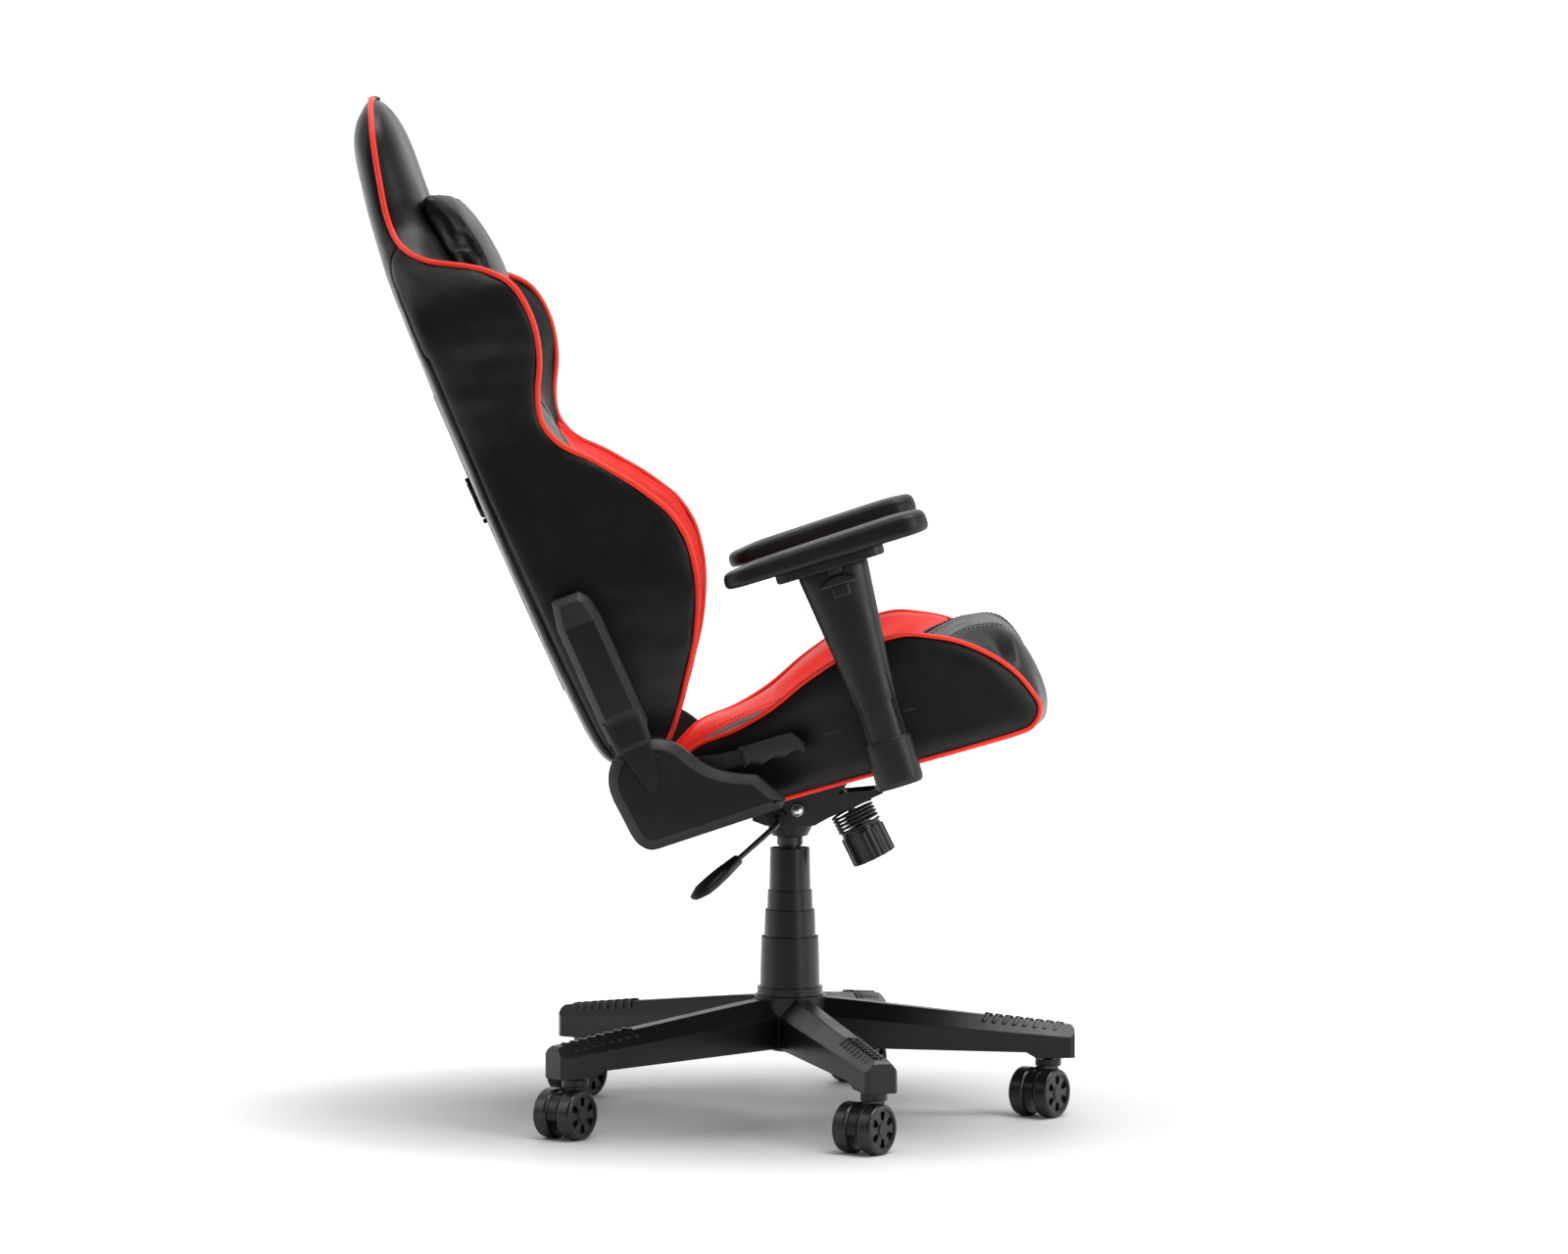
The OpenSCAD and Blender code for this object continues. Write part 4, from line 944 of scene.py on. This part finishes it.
ARM_X, ARM_Y = 131, 288      # the armrests' middle, in the seat's frame
PAD_X, PAD_Z = 126.5, 292.5  # an armrest pad's middle and its underside


def oval(x, y, z, a, b, power=2.5, n=64):
    """Level ring of a rounded oval round (x, y)."""
    return [(x + a * signed_power(cos(t), 2 / power), y + b * signed_power(sin(t), 2 / power), z)
            for t in angles(n)]


def make_arms():
    """Oval sleeves that flare towards the pads, with the height latch, and the sockets that they stand in."""
    sleeve_levels = ((0, 1.2), (0.004, 0), (0.25, 0), (0.5, 0), (0.75, 0), (0.9, 0), (0.985, 0), (1, 1))
    socket_levels = ((13, 3.2), (15, 1.2), (18, 0.2), (21, 0), (66, 0), (69.5, 0.4), (71, 1.6))
    arch = [(ARM_X + 22 * cos(a), 261 + 12 * sin(a)) for a in np.linspace(pi, 0, 15)]
    tab = [(120, 247), (141, 247), (141, 262), (120, 262)]
    rail = [(122, 275), (138, 275), (138, 291), (122, 291)]
    for name, side in SIDES:
        y, arm = side * ARM_Y, f"arm_{name}"
        rings = []
        for t, drop in sleeve_levels:
            a = 25.8 + (42.5 - 25.8) * t ** 1.1
            rings.append(oval(ARM_X - 2.5 * t, y, 115 + 166 * t, a - drop, 18.6 + 2.4 * t - drop))
        sleeve = sharpen(stack(f"arm_sleeve_cover_{name}", rings, ARM, SEAT))
        declare(sleeve, arm, (f"arm_sleeve_{name}",))
        rings = [oval(ARM_X, y, z, 28.4 - d, 20.6 - d) for z, d in socket_levels]
        socket = sharpen(stack(f"arm_socket_cover_{name}", rings, ARM, SEAT), 50)
        declare(socket, "seat", only_left("arm_sockets", side))
        rings = [oval(ARM_X, y, z, 24.6, 17.6) for z in (70, 116)]
        core = sharpen(stack(f"arm_core_cover_{name}", rings, ARM, SEAT), 50)
        declare(core, "seat")
        cover(f"latch_recess_{name}", arch, [(0, 303), (0, 311.2), (1.8, 312.6)], PAINT, SEAT, side, 0.3,
              arm)
        cover(f"latch_tab_{name}", tab, [(0, 303), (0, 311.0), (1.6, 312.4)], ARM, SEAT, side, 0.4,
              f"arm_button_{name}", (f"arm_button_{name}",))
        cover(f"latch_rail_{name}", rail, [(0, 304), (0, 310.6), (1.0, 311.4)], ARM, SEAT, side, 0.4,
              arm)


def make_pin_heads():
    """Domed bright heads of the pivot pin."""
    x, _, z = np.array(SEAT_AT) / MM
    dome = ((6.2, 51), (6.6, 54.5), (6.6, 56.2), (6.1, 57.8), (4.9, 59.2), (3.0, 60.3), (1.1, 60.8))
    for name, side in SIDES:
        rings = [[(x + u, side * y, z + v) for u, v in circle(r, 40)] for r, y in dome]
        declare(stack(f"pin_head_{name}", rings, STEEL, ROW), "mechanism")


def rounded(l, w, r, z, n):
    """Ring of a rectangle with round corners, lying flat at height z."""
    out = []
    for cx, cy, a0 in ((1, 1, 0), (-1, 1, 90), (-1, -1, 180), (1, -1, 270)):
        for k in range(n + 1):
            a = radians(a0 + 90 * k / n)
            out.append((cx * (l / 2 - r) + r * cos(a), cy * (w / 2 - r) + r * sin(a), z))
    return out


def make_arm_pads():
    """Soft pads with a full round edge, slightly dished, higher at the rim."""
    levels = [(PAD_Z, 14), (PAD_Z, 7), (293.6, 3.0), (296.5, 0.8), (300, 0), (308, 0), (313, 0.3), (317, 1.6),
              (319.6, 4.4), (320.8, 8.5), (321, 14), (320.6, 22), (320, 30), (319.6, 36)]
    for name, side in SIDES:
        y = side * ARM_Y
        rings = []
        for z, d in levels:
            l, w = 249 - 2 * d, 96 - 2 * d
            ring = []
            for px, py, pz in rounded(l, w, min(w / 2 - 0.5, 30), z, 10):
                waist = 1 - 0.10 * (1 - (abs(px) / (l / 2)) ** 2) * (py * side > 0)
                drop = -3.0 * (abs(px) / 125) ** 2.2
                thin = 1 - 0.22 * step(-px, 20, 125)  # thinner towards the rear
                ring.append((PAD_X + px, y + py * waist, PAD_Z + (pz - PAD_Z) * thin + drop * (pz > 300)))
            rings.append(ring)
        obj = subdivide(stack(f"arm_pad_top_{name}", rings, PAD, SEAT))
        declare(obj, f"arm_pad_{name}", (f"arm_pad_{name}",))


def make_spring():
    """Compression spring round the tension bolt: it bears on the mechanism and on the knob's washer."""
    axis = Vector(JOINTS["tension_turn"]["axis"]).normalized()
    origin = Vector(JOINTS["tension_turn"]["pos_m"])
    turns, foot, head, r, wire = 5.0, 7.0, 30.5, 26.0, 1.75
    samples = 28  # in a turn
    frame_y = Vector((0, 1, 0))
    frame_x = axis.cross(frame_y).normalized()
    path = []
    for i in range(int(turns * samples) + 1):
        t = i / (turns * samples)
        a = 2 * pi * turns * t
        p = origin / MM + axis * (foot + (head - foot) * t) + frame_x * (r * cos(a)) + frame_y * (r * sin(a))
        path.append(p[:])
    obj = tube("tension_coil", path, wire, PAINT, ROW, False, 10)
    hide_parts("tension_spring")
    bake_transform(obj)


def make_spoke_grips():
    """Raised chevrons on the end of each spoke, which falls towards its end."""
    r_end, ribs, pitch = 350, 8, 12.5
    for k in range(5):
        turn = Matrix.Rotation(2 * pi * k / 5, 4, "Z")
        verts, faces = [], []
        for i in range(ribs):
            x = r_end - 104 + pitch * i
            top = 111 + (r_end - x) * 0.128
            for side in (1, -1):
                base = len(verts)
                for dx in (0, 5.0):
                    for u, drop in ((1.2, -0.1), (6.5, -0.4), (15.0, -8.8)):
                        xx = x + dx - u * 0.75
                        z = top + (x - xx) * 0.11 + drop + (1.5 if u < 14 else 1.3)
                        verts.append((xx, side * u, z))
                        verts.append((xx, side * u, z - 3.2))
                for j in range(2):
                    a, b = base + 2 * j, base + 2 * j + 2
                    c, d = a + 6, b + 6
                    faces += [(a, b, d, c), (a + 1, c + 1, d + 1, b + 1), (a, a + 1, b + 1, b),
                              (c, d, d + 1, c + 1)]
                faces += [(base, base + 6, base + 7, base + 1), (base + 4, base + 5, base + 11, base + 10)]
        obj = build(f"spoke_grip_{k + 1}", verts, faces, NYLON, turn, soft=False)
        declare(finish_hard(obj, 0.5), "base")


# ---- Studio ----

def light(name, at, aim, width, height, power):
    data = bpy.data.lights.new(name, "AREA")
    data.energy = power
    data.shape = "RECTANGLE"
    data.size, data.size_y = width, height
    obj = add(name, data)
    obj.location = at
    obj.rotation_euler = (Vector(aim) - Vector(at)).to_track_quat("-Z", "Y").to_euler()


def make_camera():
    """The photo's camera, found from the base, the column and the casters."""
    cam = bpy.data.cameras.new("camera")
    cam.lens = 125.3
    cam.clip_end = 50
    obj = add("camera", cam)
    obj.location = (-0.0073, -6.68, 0.975)
    obj.rotation_euler = (pi / 2 - 0.0559, 0, 0)
    bpy.context.scene.camera = obj


def make_floor():
    """White paper with painted shade under the chair, and a painted glow that grows farther out like a lit
    sweep.
    """
    look, t, s, c = material("floor", Roughness=0.6, Specular_IOR_Level=0.2)
    split = node(t, "ShaderNodeSeparateXYZ")
    link(c, split.inputs[0])
    flat = node(t, "ShaderNodeCombineXYZ")
    for axis, width in (("X", 0.8), ("Y", 1.0)):
        link(maths(t, "MULTIPLY", split.outputs[axis], width), flat.inputs[axis])
    reach = node(t, "ShaderNodeVectorMath", operation="LENGTH")
    link(flat.outputs[0], reach.inputs[0])
    # Painted shade: it darkens towards the camera, so that it lights the chair's flank less
    lit = ramp(t, maths(t, "MULTIPLY", split.outputs["Y"], -0.1), 1.0, 0.13, (0.104, 0.2))
    # Painted shade: the base colour is greyer near the chair. Painted glow: the emission grows farther out.
    for low, high, span, socket in ((0.56, 0.90, (0.28, 0.85), "Base Color"),
                                    (0.0, 0.35, (0.45, 0.95), "Emission Strength")):
        shade = ramp(t, reach.outputs["Value"], low, high, span)
        link(maths(t, "MULTIPLY", shade, lit), s.inputs[socket])
    s.inputs["Emission Color"].default_value = (1, 1, 1, 1)
    r = 60 / MM
    build("floor", [(-r, -r, 0), (r, -r, 0), (r, r, 0), (-r, r, 0)], [(0, 1, 2, 3)], look)


def make_world():
    """White sky behind the chair, dim on the side that the chair's flank faces."""
    world = bpy.data.worlds.new("world")
    bpy.context.scene.world = world
    world.use_nodes = True
    t = world.node_tree
    split = node(t, "ShaderNodeSeparateXYZ")
    link(node(t, "ShaderNodeTexCoord").outputs["Generated"], split.inputs[0])
    half = maths(t, "MULTIPLY_ADD", split.outputs["Y"], 0.5, 0.5)
    link(ramp(t, half, 0.13, 1.06, (0.45, 0.80)), t.nodes["Background"].inputs["Color"])


def make_lights():
    """A broad soft sun from above, and dim panels for the gleams on the leather and the plastics."""
    sun = bpy.data.lights.new("top", "SUN")
    sun.energy = 3.0
    sun.angle = radians(38)
    add("top", sun).rotation_euler = Vector((0.16, -0.10, 1)).to_track_quat("Z", "Y").to_euler()
    light("front", (-1.8, -5.2, 3.2), (0, 0, 0.7), 2.0, 2.0, 6)
    light("right_strip", (2.3, -2.3, 1.5), (0, 0, 0.8), 0.6, 2.2, 48)
    light("right_wall", (3.4, 0.1, 1.2), (0, 0, 0.7), 1.5, 2.0, 24)
    light("left_strip", (-2.4, -0.4, 1.6), (-0.1, 0, 0.8), 0.5, 2.4, 14)


# ---- All together ----

bpy.context.scene.view_settings.view_transform = "Standard"
dress_nodes()
make_camera()
make_floor()
make_world()
make_lights()
make_seat()
make_back()
make_pillow("head_pillow_cover", "head_pillow", (47, 0, 664), -6, 134, 82, 22, 22)
make_pillow("lumbar_pillow_cover", "lumbar_pillow", (101, 0, 205), 0, 121, 77, 20, 24)
make_straps()
make_hinge_covers()
make_arm_covers()
make_arm_pads()
make_grip()
make_arms()
make_pin_heads()
make_spring()
make_spoke_grips()
